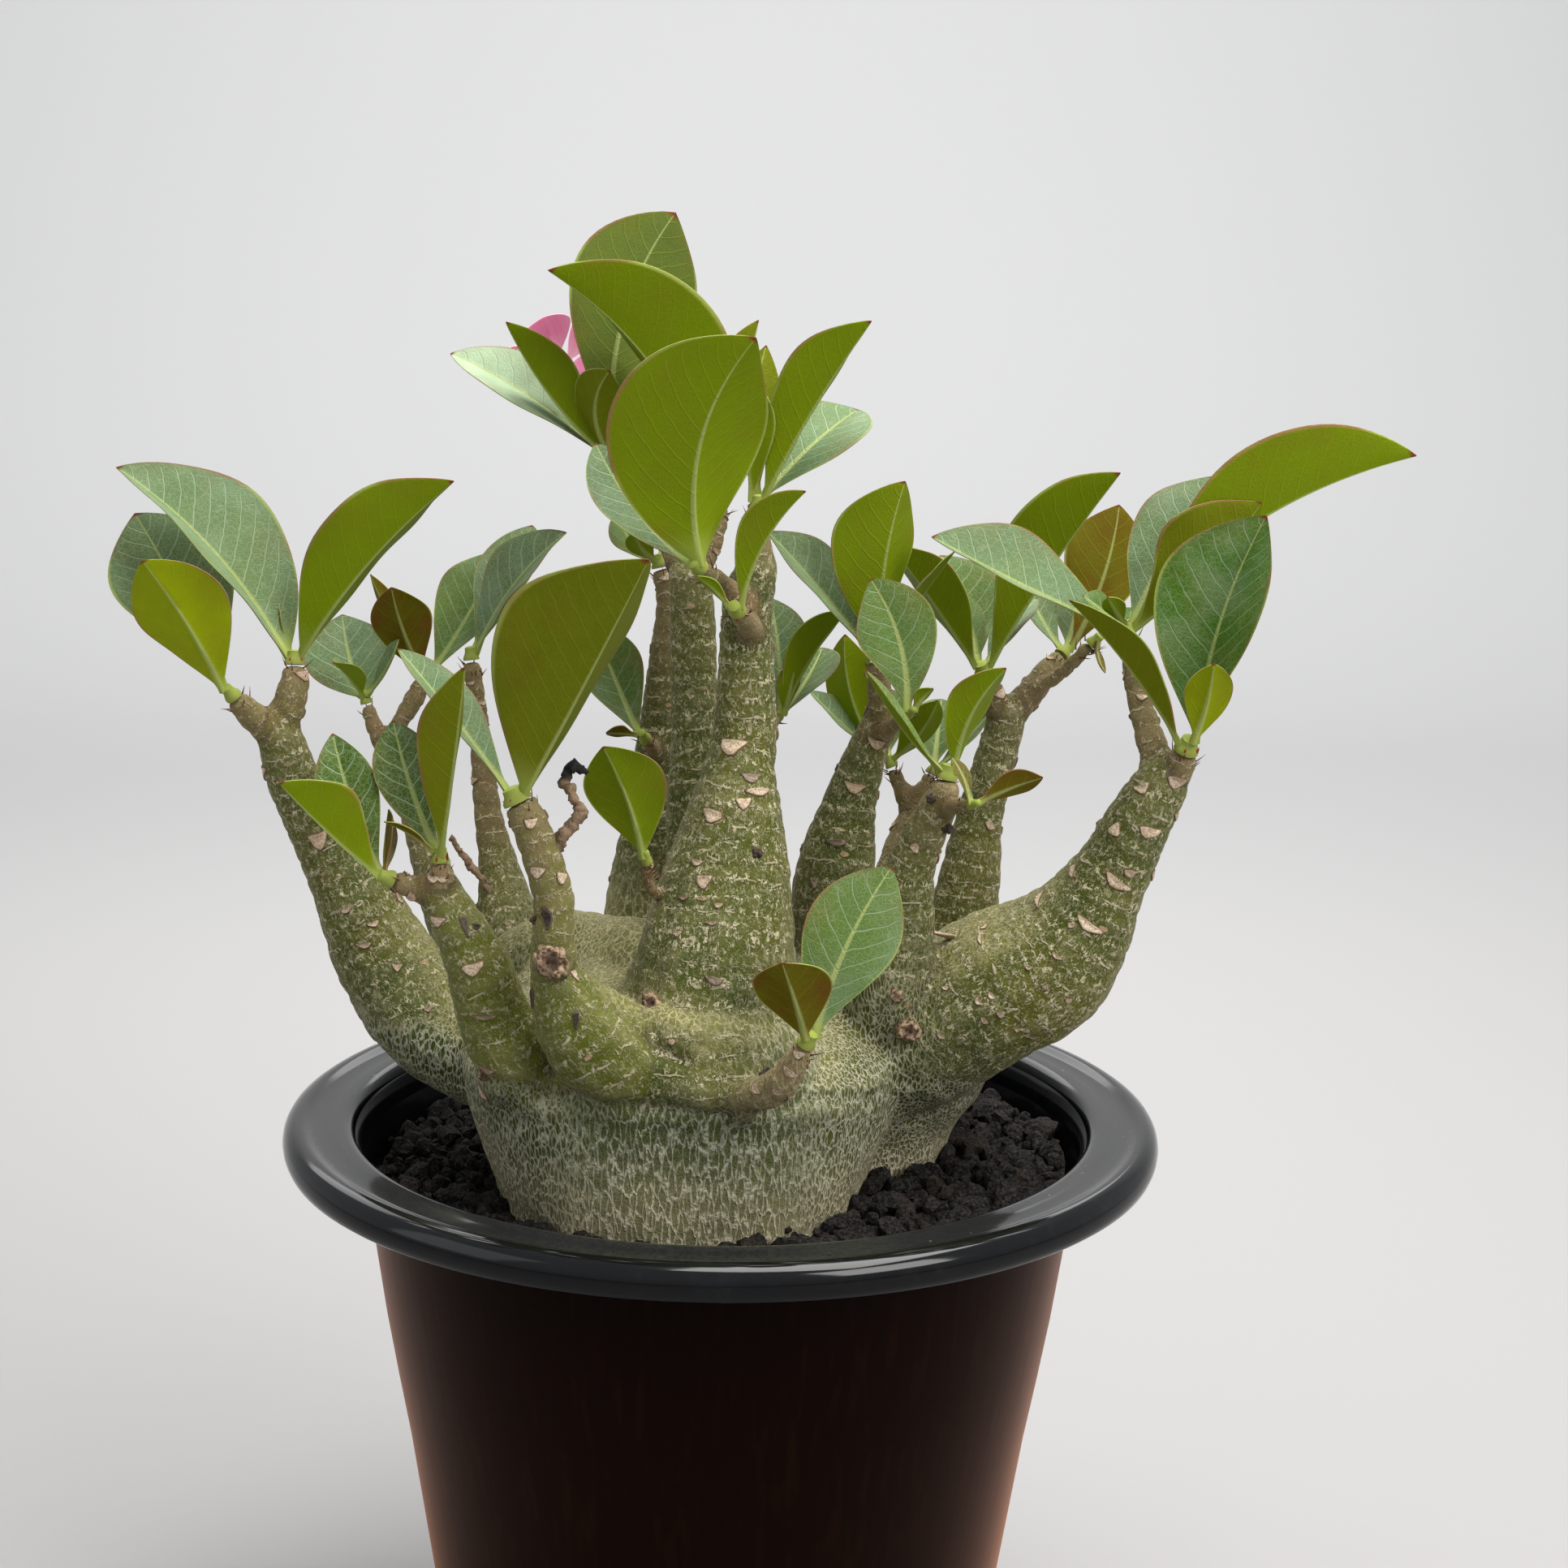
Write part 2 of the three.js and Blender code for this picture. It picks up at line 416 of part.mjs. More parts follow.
// Each growing tip's leaves: [azimuth, rise, length, width, roll, bow, sweep, fold, belly] in degrees
// and millimetres. Azimuth is measured from +X towards +Y and rise from the level. Roll turns the
// blade about its own length; bow and sweep push its middle towards its upper face and to its side;
// fold lifts each half from flat; belly, where given, is the percentage of the length where the
// blade is widest.
const LEAVES = {
  left_arm_twig_right: [
    [-177, 49, 65, 38, -30, 4, 2, 34, 52], [-21, 46, 66, 31, -30, 2, 2, 43, 54],
    [142, 75, 16, 5, 40, -1, 0, 20],
  ],
  left_arm_twig_left: [[144, 52, 56, 33, -30, -4, 2, 10, 68], [-136, 58, 41, 25, 45, 1, -1, 12]],
  front_left_twig_left: [
    [-148, 46, 35, 22, 30, 1, 2, 37], [138, 61, 37, 15, -35, 0, -1, 14], [92, 57, 17, 9, 90, 0, 0, 25],
  ],
  front_left_twig_right: [
    [-67, 66, 53, 18, 25, 1, -1, 43], [132, 58, 35, 16, -30, 1, -1, 14], [-165, 34, 14, 5, 15, 1, 0, 15],
  ],
  front_mid: [[-34, 58, 68, 48, -20, 1, -1, 43, 55], [137, 36, 51, 15, 0, 0, 1, 30]],
  rear_far_left_twig_left: [
    [127, 61, 26, 26, -30, 0, -1, 10, 52], [-115, 40, 18, 11, -15, 1, 0, 30],
    [-32, 55, 21, 8, 55, -1, 0, 20],
  ],
  rear_far_left_twig_right: [
    [-132, 67, 28, 18, 40, 0, 1, 12], [48, 52, 43, 24, 20, 0, 1, 22], [145, 51, 34, 8, 85, -1, 0, 20],
  ],
  rear_left_thin: [[4, 54, 43, 24, 30, 3, -1, 24], [64, 48, 46, 20, 5, 1, 1, 24]],
  mid_left_twig_left: [
    [37, 74, 68, 35, -120, -1, 7, 12, 69], [-153, 51, 45, 20, 25, -1, 2, 42],
    [168, 31, 51, 21, -35, 2, 1, 24], [-85, 53, 28, 15, -20, 0, 4, 22], [83, 51, 34, 20, 5, 1, 1, 20],
  ],
  mid_left_twig_up: [
    [-148, 49, 76, 42, 25, 8, -2, 43, 54], [23, 80, 47, 20, -55, 1, 1, 30], [104, 44, 33, 18, -10, 0, 0, 20],
  ],
  centre_twig: [[-45, 72, 57, 45, -20, 4, 6, 24, 54], [145, 43, 41, 18, -35, -1, -2, 16]],
  centre: [
    [-25, 58, 53, 23, -25, 2, 0, 43], [-168, 82, 34, 17, 20, 1, 0, 30], [84, 72, 40, 13, 175, -1, 2, 14],
    [42, 34, 39, 27, 20, 3, 1, 18],
  ],
  centre_bud: [[-22, 61, 33, 15, -25, 3, 1, 43], [-172, 44, 11, 5, 35, 1, 0, 10]],
  rear_left_tall: [
    [161, 48, 17, 15, -30, -1, -1, 16], [-122, 40, 13, 8, 30, 0, 1, 12], [85, 40, 36, 24, 5, -1, 2, 20],
  ],
  rear_left_bud: [[157, 64, 34, 18, -50, -1, 0, 14], [-166, 7, 9, 6, 40, 1, 1, 10]],
  centre_side_bud: [[-144, 68, 31, 21, 45, 1, -1, 10]],
  centre_rear_bud: [
    [13, 59, 32, 17, -45, 1, 2, 26], [103, 64, 33, 17, -5, 1, 1, 14], [-7, 79, 15, 8, -45, -1, 1, 16],
    [69, 26, 33, 18, 0, 0, 1, 20],
  ],
  right_centre: [
    [-20, 83, 45, 29, -40, 1, 2, 31], [163, 47, 41, 20, -25, 1, 0, 30], [12, 53, 32, 11, -15, 0, 0, 20],
    [105, 39, 34, 22, 0, -1, 1, 20],
  ],
  right_centre_bud: [[170, 73, 35, 21, -70, 0, 3, 8], [-27, 53, 8, 5, -30, 1, 0, 20]],
  front_right: [[-29, 65, 30, 14, -30, 2, 2, 24], [-168, 52, 32, 9, -15, -1, 0, 25]],
  front_right_bud: [[165, 66, 12, 5, -25, 1, 0, 14], [-15, 26, 17, 9, -50, 1, 0, 14]],
  rear_right_twig_left: [
    [-30, 57, 65, 31, -25, 2, 0, 43], [-163, 53, 42, 21, 25, 1, 0, 26], [41, 42, 26, 12, 5, 2, 0, 16],
    [120, 56, 22, 9, -20, 2, 1, 16], [108, 42, 40, 22, 0, 2, 1, 20],
  ],
  rear_right_twig_right: [
    [28, 70, 43, 26, -100, -1, -2, 10, 66], [138, 54, 26, 13, -15, 0, -1, 20], [73, 34, 37, 22, 5, 1, 0, 20],
  ],
  rear_right_twig_far: [[-59, -65, 9, 4, -25, -1, 0, 15], [30, 24, 18, 14, 0, 0, -1, 18]],
  right_arm_twig_left: [
    [174, 25, 54, 28, -30, 0, -1, 32], [-11, 48, 45, 31, -40, -2, -1, 41], [-8, 34, 81, 35, -40, 5, 5, 43],
    [35, 55, 46, 24, 15, 2, 0, 18], [-156, 34, 14, 9, -50, 0, 0, 20], [-122, 36, 13, 6, 20, 0, 0, 14],
  ],
  right_arm_twig_right: [
    [-167, 50, 47, 19, 5, 2, 0, 24], [12, 75, 58, 36, 40, 1, -3, 35], [-75, 66, 23, 12, -15, 1, -1, 12],
  ],
  front_twig: [[26, 64, 44, 23, 55, 1, -2, 10], [-117, 59, 25, 19, 20, 1, 0, 12]],
  rear_centre_right_twig_left: [
    [171, 41, 30, 14, -20, 0, -1, 26], [172, 71, 38, 18, 70, -2, 3, 16], [-20, 55, 22, 14, -40, -1, -1, 18],
    [95, 35, 29, 18, -5, 0, 0, 20],
  ],
  rear_centre_right_twig_right: [[4, 49, 25, 10, 20, 0, 1, 18], [82, 38, 27, 16, 5, 1, 0, 18]],
};

// Shares of its length at which a blade is cut into panels: more for the long leaves.
function bladeStations(length) {
  if (length >= 60) return [0, 0.16, 0.33, 0.5, 0.68, 0.86, 1];
  if (length > 45) return [0, 0.2, 0.42, 0.64, 0.85, 1];
  if (length >= 24) return [0, 0.25, 0.55, 0.82, 1];
  return [0, 0.3, 0.65, 1];
}

// A twig's end: its middle, the way it points and its radius.
function limbEnd(name) {
  const path = LIMBS[name].path;
  const [x, y, z, radius] = path[path.length - 1];
  const [beforeX, beforeY, beforeZ] = path[path.length - 2];
  const point = new THREE.Vector3(x, y, z);
  const ahead = new THREE.Vector3(x - beforeX, y - beforeY, z - beforeZ).normalize();
  return { point, ahead, radius };
}

// Half the blade's width at the share t of its length: widest at the belly, pointed at the tip.
function bladeHalfWidth(t, width, belly) {
  const exponent = Math.log(0.5) / Math.log(belly / 100);
  const outline = Math.max(Math.sin(Math.PI * t ** exponent), 0) ** 0.85;
  const narrowest = THREE.MathUtils.lerp(BLADE_ROOT_HALF_WIDTH, BLADE_TIP_HALF_WIDTH, t);
  return Math.max((width / 2) * outline, narrowest);
}

function bladeSolid(root, [azimuth, rise, length, width, roll, bow, sweep, fold, belly = USUAL_BELLY]) {
  const [r, f] = [roll, fold].map(THREE.MathUtils.degToRad);
  const ahead = direction(azimuth, rise);
  const face = direction(azimuth, rise + 90).multiplyScalar(Math.cos(r));
  face.addScaledVector(ahead.clone().cross(direction(azimuth, rise + 90)), Math.sin(r));
  const side = ahead.clone().cross(face);
  const upper = [];
  const lower = [];
  for (const t of bladeStations(length)) {
    const hump = 4 * t * (1 - t);
    const slope = 4 - 8 * t;
    const middle = root.clone().addScaledVector(ahead, t * length);
    middle.addScaledVector(face, bow * hump).addScaledVector(side, sweep * hump);
    const tangent = ahead.clone().multiplyScalar(length);
    tangent.addScaledVector(face, bow * slope).addScaledVector(side, sweep * slope).normalize();
    const across = side.clone().addScaledVector(tangent, -side.dot(tangent)).normalize();
    const out = across.clone().cross(tangent);
    const half = bladeHalfWidth(t, width, belly);
    for (const edge of [-1, 0, 1]) {
      const point = middle.clone().addScaledVector(across, edge * half * Math.cos(f));
      point.addScaledVector(out, Math.abs(edge) * half * Math.sin(f));
      upper.push(point.clone().addScaledVector(out, BLADE_THICKNESS / 2));
      lower.push(point.clone().addScaledVector(out, -BLADE_THICKNESS / 2));
    }
  }
  const under = upper.length;
  const lastRow = under - 3;
  const triangles = [];
  const quad = (p, q, s, u) => triangles.push(p, q, s, p, s, u);
  for (let row = 0; row < lastRow; row += 3) {
    for (let k = row; k < row + 2; k += 1) {
      quad(k, k + 1, k + 4, k + 3);
      triangles.push(under + k, under + k + 4, under + k + 1, under + k, under + k + 3, under + k + 4);
    }
    quad(row, row + 3, under + row + 3, under + row);
    quad(row + 2, under + row + 2, under + row + 5, row + 5);
  }
  for (let k = 0; k < 2; k += 1) {
    quad(k, under + k, under + k + 1, k + 1);
    quad(lastRow + k, lastRow + k + 1, under + lastRow + k + 1, under + lastRow + k);
  }
  const positions = [...upper, ...lower].flatMap((p) => [p.x, p.y, p.z]);
  return solidFromIndexed(positions, triangles);
}

// The short green shoot that carries a tip's leaves, seated just clear of the twig's end. It tapers
// from nearly the twig's own thickness to half of it.
function shootSolid({ point, ahead, radius }) {
  const path = [[SEAT_GAP, 0.9], [SHOOT_LENGTH, 0.5]].map(([along, share]) => {
    const centre = point.clone().addScaledVector(ahead, along);
    return [centre.x, centre.y, centre.z, radius * share];
  });
  return limbSolid({ sides: SHOOT_SIDES, path });
}

// The leaves' roots climb the shoot one above the other, each a little out on its own side.
function rosetteSolid(limbName) {
  const end = limbEnd(limbName);
  const leaves = LEAVES[limbName].map((leaf, i) => {
    const root = end.point.clone().addScaledVector(end.ahead, FIRST_LEAF_HEIGHT + LEAF_SPACING * i);
    root.addScaledVector(direction(leaf[0], 0), LEAF_ROOT_OFFSET * end.radius);
    return bladeSolid(root, leaf);
  });
  return joinAll([shootSolid(end), ...leaves]);
}

// ---------------------------------------------------------------- flower

function flowerSolid() {
  const end = limbEnd("flower_stalk");
  const ahead = direction(FLOWER_AZIMUTH, FLOWER_RISE);
  const start = end.point.clone().addScaledVector(end.ahead, SEAT_GAP);
  const bend = start.clone().addScaledVector(end.ahead, 2);
  const tube = [[6, 1.6], [16, 3.4], [FLOWER_TUBE_LENGTH, 4.2]].map(([along, radius]) => {
    const centre = bend.clone().addScaledVector(ahead, along);
    return [centre.x, centre.y, centre.z, radius];
  });
  const path = [[start.x, start.y, start.z, 1.3], [bend.x, bend.y, bend.z, 1.4], ...tube];
  const throat = bend.clone().addScaledVector(ahead, FLOWER_TUBE_LENGTH - 2);
  const across = new THREE.Vector3(0, 0, 1).cross(ahead).normalize();
  const petals = Array.from({ length: PETAL_COUNT }, (_, i) => {
    const petalTurn = THREE.MathUtils.degToRad(FIRST_PETAL_TURN + (i / PETAL_COUNT) * 360);
    const way = across.clone().applyAxisAngle(ahead, petalTurn);
    const aim = way.clone().addScaledVector(ahead, PETAL_LIFT).normalize();
    const petalAzimuth = THREE.MathUtils.radToDeg(Math.atan2(aim.y, aim.x));
    const petalRise = THREE.MathUtils.radToDeg(Math.asin(aim.z));
    const level = direction(petalAzimuth, petalRise + 90);
    const face = ahead.clone().addScaledVector(aim, -ahead.dot(aim)).normalize();
    const turn = Math.atan2(aim.clone().cross(level).dot(face), level.dot(face));
    const petalRoll = THREE.MathUtils.radToDeg(turn);
    const root = throat.clone().addScaledVector(way, PETAL_ROOT_RADIUS);
    return bladeSolid(root, [petalAzimuth, petalRise, PETAL_LENGTH, PETAL_WIDTH, petalRoll, 1, 0, 8]);
  });
  return joinAll([limbSolid({ sides: 5, path }), ...petals]);
}

// ---------------------------------------------------------------- the object

const PLANT = new THREE.Group();

function addNode(name, solid, color, roughness) {
  const material = new THREE.MeshStandardMaterial({ color, roughness, metalness: 0 });
  const mesh = new THREE.Mesh(geometryFromSolid(solid), material);
  mesh.name = name;
  PLANT.add(mesh);
}

addNode("pot", potSolid(), "#14100f", 0.18);
addNode("soil", soilSolid(), "#2b2624", 0.95);
addNode("caudex", caudexSolid(), "#7d8058", 0.75);
for (const limbName of Object.keys(LEAVES)) {
  addNode(`leaves_${limbName}`, rosetteSolid(limbName), "#64841f", 0.5);
}
addNode("flower", flowerSolid(), "#ee7fae", 0.55);

export default PLANT;
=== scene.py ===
import math
import random

import bpy
import numpy as np
from mathutils import Euler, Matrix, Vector
from mathutils.bvhtree import BVHTree


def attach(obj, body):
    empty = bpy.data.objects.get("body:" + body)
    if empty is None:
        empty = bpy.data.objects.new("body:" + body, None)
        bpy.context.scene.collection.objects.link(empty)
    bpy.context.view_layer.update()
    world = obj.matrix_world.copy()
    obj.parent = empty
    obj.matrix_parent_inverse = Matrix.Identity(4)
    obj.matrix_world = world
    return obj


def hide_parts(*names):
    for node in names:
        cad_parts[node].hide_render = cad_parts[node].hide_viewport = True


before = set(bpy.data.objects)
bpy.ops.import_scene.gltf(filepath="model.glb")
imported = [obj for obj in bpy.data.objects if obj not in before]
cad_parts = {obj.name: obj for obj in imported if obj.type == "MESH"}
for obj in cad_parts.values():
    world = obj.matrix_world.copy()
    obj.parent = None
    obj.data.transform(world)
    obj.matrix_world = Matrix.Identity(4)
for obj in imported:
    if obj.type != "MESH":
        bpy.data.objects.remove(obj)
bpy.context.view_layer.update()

# ---------------------------------------------------------------- pot
# One moulded shell of glossy black-brown plastic: a deep tapered body, a wide flat flange and an
# outer edge that rolls over and down. It is drawn up ring by ring, closed, and drilled for drainage.

MM = 0.001
POT_SIDES = 192
# Steps of the wall as [radius, height] in millimetres: up the outside, over the rim, down the inside.
POT_STEPS = [
    [68.4, 0], [69.6, 0.5], [70, 2], [74, 30], [79.5, 67], [85, 104], [88.1, 121.5], [91, 139],
    [93.7, 158.5],
    [96, 178], [96.4, 184.6], [97.4, 187], [99.4, 188.3], [104, 188.5], [109.8, 188.4], [111.2, 187.6],
    [111.9, 185.8], [112.7, 184], [114, 183], [115.4, 183], [116.6, 183.9], [117.2, 185.4],
    [117.4, 187.2],
    [117.1, 189], [116.1, 190.6], [114.6, 191.6], [112.9, 191.9], [111.4, 191.6], [110.3, 191],
    [108.6, 190.7],
    [104.8, 190.8], [101.8, 191], [100.2, 190.7], [99.2, 189.8], [98.6, 188], [97.9, 185.6], [96.4, 182],
    [94, 177], [88.1, 141], [82.5, 104], [77, 67], [71.5, 30], [68.6, 8], [67.5, 4.4], [66, 3.1], [64, 3],
]
DRAIN_COUNT = 6
DRAIN_CIRCLE = 44
DRAIN_RADIUS = 5
# The outside of the body, in metres: below its top, and further out than its foot plus its taper.
BODY_TOP = 0.18
BODY_FOOT = 0.0677
BODY_TAPER = 0.155


def deselect_all():
    bpy.ops.object.select_all(action="DESELECT")


def name_piece(name):
    piece = bpy.context.object
    piece.name = piece.data.name = name
    return piece


def turned_piece(name, steps, sides):
    deselect_all()
    radius, height = steps[0]
    bpy.ops.mesh.primitive_circle_add(vertices=sides, radius=radius * MM, location=(0, 0, height * MM))
    turned = name_piece(name)
    bpy.ops.object.mode_set(mode="EDIT")
    bpy.ops.mesh.select_all(action="SELECT")
    for next_radius, next_height in steps[1:]:
        rise = (next_height - height) * MM
        grow = next_radius / radius
        bpy.ops.mesh.extrude_edges_move(TRANSFORM_OT_translate={"value": (0, 0, rise)})
        bpy.ops.transform.resize(value=(grow, grow, 1), center_override=(0, 0, next_height * MM))
        radius, height = next_radius, next_height
    bpy.ops.mesh.edge_face_add()
    bpy.ops.mesh.select_all(action="DESELECT")
    bpy.ops.mesh.select_non_manifold()
    bpy.ops.mesh.edge_face_add()
    bpy.ops.mesh.select_all(action="SELECT")
    bpy.ops.mesh.normals_make_consistent(inside=False)
    bpy.ops.object.mode_set(mode="OBJECT")
    bpy.ops.object.transform_apply(location=True, rotation=True, scale=True)
    return turned


def new_finish(name):
    finish = bpy.data.materials.new(name)
    finish.use_nodes = True
    return finish, finish.node_tree, finish.node_tree.nodes["Principled BSDF"].inputs


def fill(inputs, values):
    """Gives a node's inputs plain values, or links from other nodes' outputs."""
    for name, value in values.items():
        if isinstance(value, bpy.types.NodeSocket):
            value.id_data.links.new(value, inputs[name])
        else:
            inputs[name].default_value = value


def add_node(kind, sockets, tree=None, **settings):
    """Adds a shader node to the tree that its inputs come from, or else to the one that is given."""
    for value in sockets.values():
        if isinstance(value, bpy.types.NodeSocket):
            tree = value.id_data
    made = tree.nodes.new(kind)
    for name, value in settings.items():
        setattr(made, name, value)
    fill(made.inputs, sockets)
    return made


def calc(operation, first, second=0.0):
    return add_node("ShaderNodeMath", {0: first, 1: second}, operation=operation).outputs[0]


def times(first, second):
    return calc("MULTIPLY", first, second)


def plus(first, second):
    return calc("ADD", first, second)


def minus(first, second):
    return calc("SUBTRACT", first, second)


def larger(first, second):
    return calc("MAXIMUM", first, second)


def between(value, low, high, to_low=0.0, to_high=1.0):
    """A smooth step of value from to_low below low to to_high above high."""
    sockets = {"Value": value, "From Min": low, "From Max": high, "To Min": to_low, "To Max": to_high}
    return add_node("ShaderNodeMapRange", sockets, interpolation_type="SMOOTHSTEP").outputs[0]


def mix(share, first, second):
    return add_node("ShaderNodeMix", {0: share, 2: first, 3: second}, data_type="FLOAT").outputs[0]


def blend(share, first, second):
    return add_node("ShaderNodeMix", {0: share, 6: first, 7: second}, data_type="RGBA").outputs[2]


def layered(colour, layers):
    """Lays colours over the first one, each by its own share."""
    for share, layer in layers:
        colour = blend(share, colour, layer)
    return colour


def vector_calc(operation, vector, sockets):
    return add_node("ShaderNodeVectorMath", {0: vector} | sockets, operation=operation).outputs[0]


def stretch(vector, scale):
    return vector_calc("MULTIPLY", vector, {1: scale})


def axes(vector):
    return add_node("ShaderNodeSeparateXYZ", {"Vector": vector}).outputs


def noise_value(vector, scale, detail=3.0, roughness=0.55):
    sockets = {"Vector": vector, "Scale": scale, "Detail": detail, "Roughness": roughness}
    return add_node("ShaderNodeTexNoise", sockets).outputs["Fac"]


def object_place(tree):
    return add_node("ShaderNodeTexCoord", {}, tree).outputs["Object"]


def raise_bumps(height, distance):
    return add_node("ShaderNodeBump", {"Height": height, "Distance": distance}).outputs["Normal"]


pot = turned_piece("pot_shell", POT_STEPS, POT_SIDES)
deselect_all()
for i in range(DRAIN_COUNT):
    turn = 2 * math.pi * i / DRAIN_COUNT
    place = (DRAIN_CIRCLE * MM * math.cos(turn), DRAIN_CIRCLE * MM * math.sin(turn), 1.5 * MM)
    bpy.ops.mesh.primitive_cylinder_add(vertices=32, radius=DRAIN_RADIUS * MM, depth=8 * MM, location=place)
    drill = bpy.context.object
    drilling = pot.modifiers.new("drain", "BOOLEAN")
    drilling.object = drill
    drilling.operation = "DIFFERENCE"
    drilling.solver = "EXACT"
    deselect_all()
    bpy.context.view_layer.objects.active = pot
    pot.select_set(True)
    bpy.ops.object.modifier_apply(modifier=drilling.name)
    bpy.data.objects.remove(drill)
bpy.ops.object.shade_smooth_by_angle(angle=math.radians(38))

black_plastic, tree, surface = new_finish("black_plastic")
place = object_place(tree)
parts = axes(place)
across = calc("SQRT", plus(calc("POWER", parts["X"], 2), calc("POWER", parts["Y"], 2)))
is_flange = times(between(across, 0.0985, 0.1), between(across, 0.1115, 0.1098))
is_flange = times(is_flange, between(parts["Z"], 0.189, 0.19))
scuffs = noise_value(stretch(place, (90, 90, 90)), 1.0, 8, 0.72)
black = blend(between(scuffs, 0.5, 0.78), (0.003, 0.0032, 0.0037, 1), (0.009, 0.0095, 0.011, 1))
dusty = blend(is_flange, black, (0.012, 0.0123, 0.0135, 1))
specks = between(noise_value(place, 520, 2), 0.71, 0.76)
dusty = blend(times(specks, is_flange), dusty, (0.1, 0.097, 0.093, 1))
scratches = noise_value(stretch(place, (30, 700, 700)), 1.0, 2)
gloss = plus(0.16, times(is_flange, 0.2))
gloss = plus(gloss, times(between(scratches, 0.66, 0.72), 0.1))
coat = between(across, 0.0982, 0.1, 0.05, 0.72)
coat = times(coat, between(parts["Z"], 0.1895, 0.187, 1.0, 0.5))
fill(surface, {
    "Base Color": dusty, "Roughness": gloss, "Specular IOR Level": 0.02, "Coat Weight": coat,
    "Coat Roughness": 0.1, "Normal": raise_bumps(scuffs, 0.00005),
})
pot.data.materials.append(black_plastic)

# Below the flange the wall is thin enough to glow brown at its edges.
brown_plastic, tree, surface = new_finish("brown_body_plastic")
streaks = noise_value(stretch(object_place(tree), (330, 330, 6)), 1.0, 3, 0.6)
brown = blend(between(streaks, 0.48, 0.8), (0.0045, 0.0011, 0.0004, 1), (0.0095, 0.0026, 0.0009, 1))
fill(surface, {
    "Base Color": brown, "Roughness": 0.3, "Specular IOR Level": 0.03, "Sheen Weight": 0.6,
    "Sheen Roughness": 0.3, "Sheen Tint": (0.9, 0.3, 0.1, 1), "Normal": raise_bumps(streaks, 0.00004),
})
pot.data.materials.append(brown_plastic)
for face in pot.data.polygons:
    if face.center.z < BODY_TOP and face.center.xy.length - BODY_TAPER * face.center.z > BODY_FOOT:
        face.material_index = 1
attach(pot, "root")
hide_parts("pot")

# ---------------------------------------------------------------- caudex
# One grown woody body: a swollen base of two lobes with three thick arms and upright stems. It is
# drawn as lofted lobes and round limbs, fused by a voxel remesh, and wrinkled along each limb.

# The swollen base's two lobes: sections [z, centre x, centre y, half width x, half width y] in mm.
MAIN_LOBE = [
    [122, -10, -14, 34, 36], [166, -10, -14, 47, 54], [178, -10, -14, 48, 56], [192, -10, -14, 53, 56],
    [206, -10, -14, 57, 56], [213, -10, -14, 58, 57], [219, -10, -13, 54, 54], [224, -10, -11, 48, 46],
    [229, -10, -9, 40, 36], [233, -10, -7, 29, 25], [236, -10, -5, 14, 12],
]
RIGHT_LOBE = [
    [122, 24, 6, 24, 24], [178, 28, 9, 33, 33], [189, 28, 9, 37, 35], [199, 29, 8, 42, 38],
    [212, 29, 7, 45, 40], [224, 29, 5, 41, 36], [232, 31, 3, 31, 27], [236, 32, 2, 19, 16],
    [238, 33, 1, 8, 7],
]
LOBE_SQUARENESS = 2.4
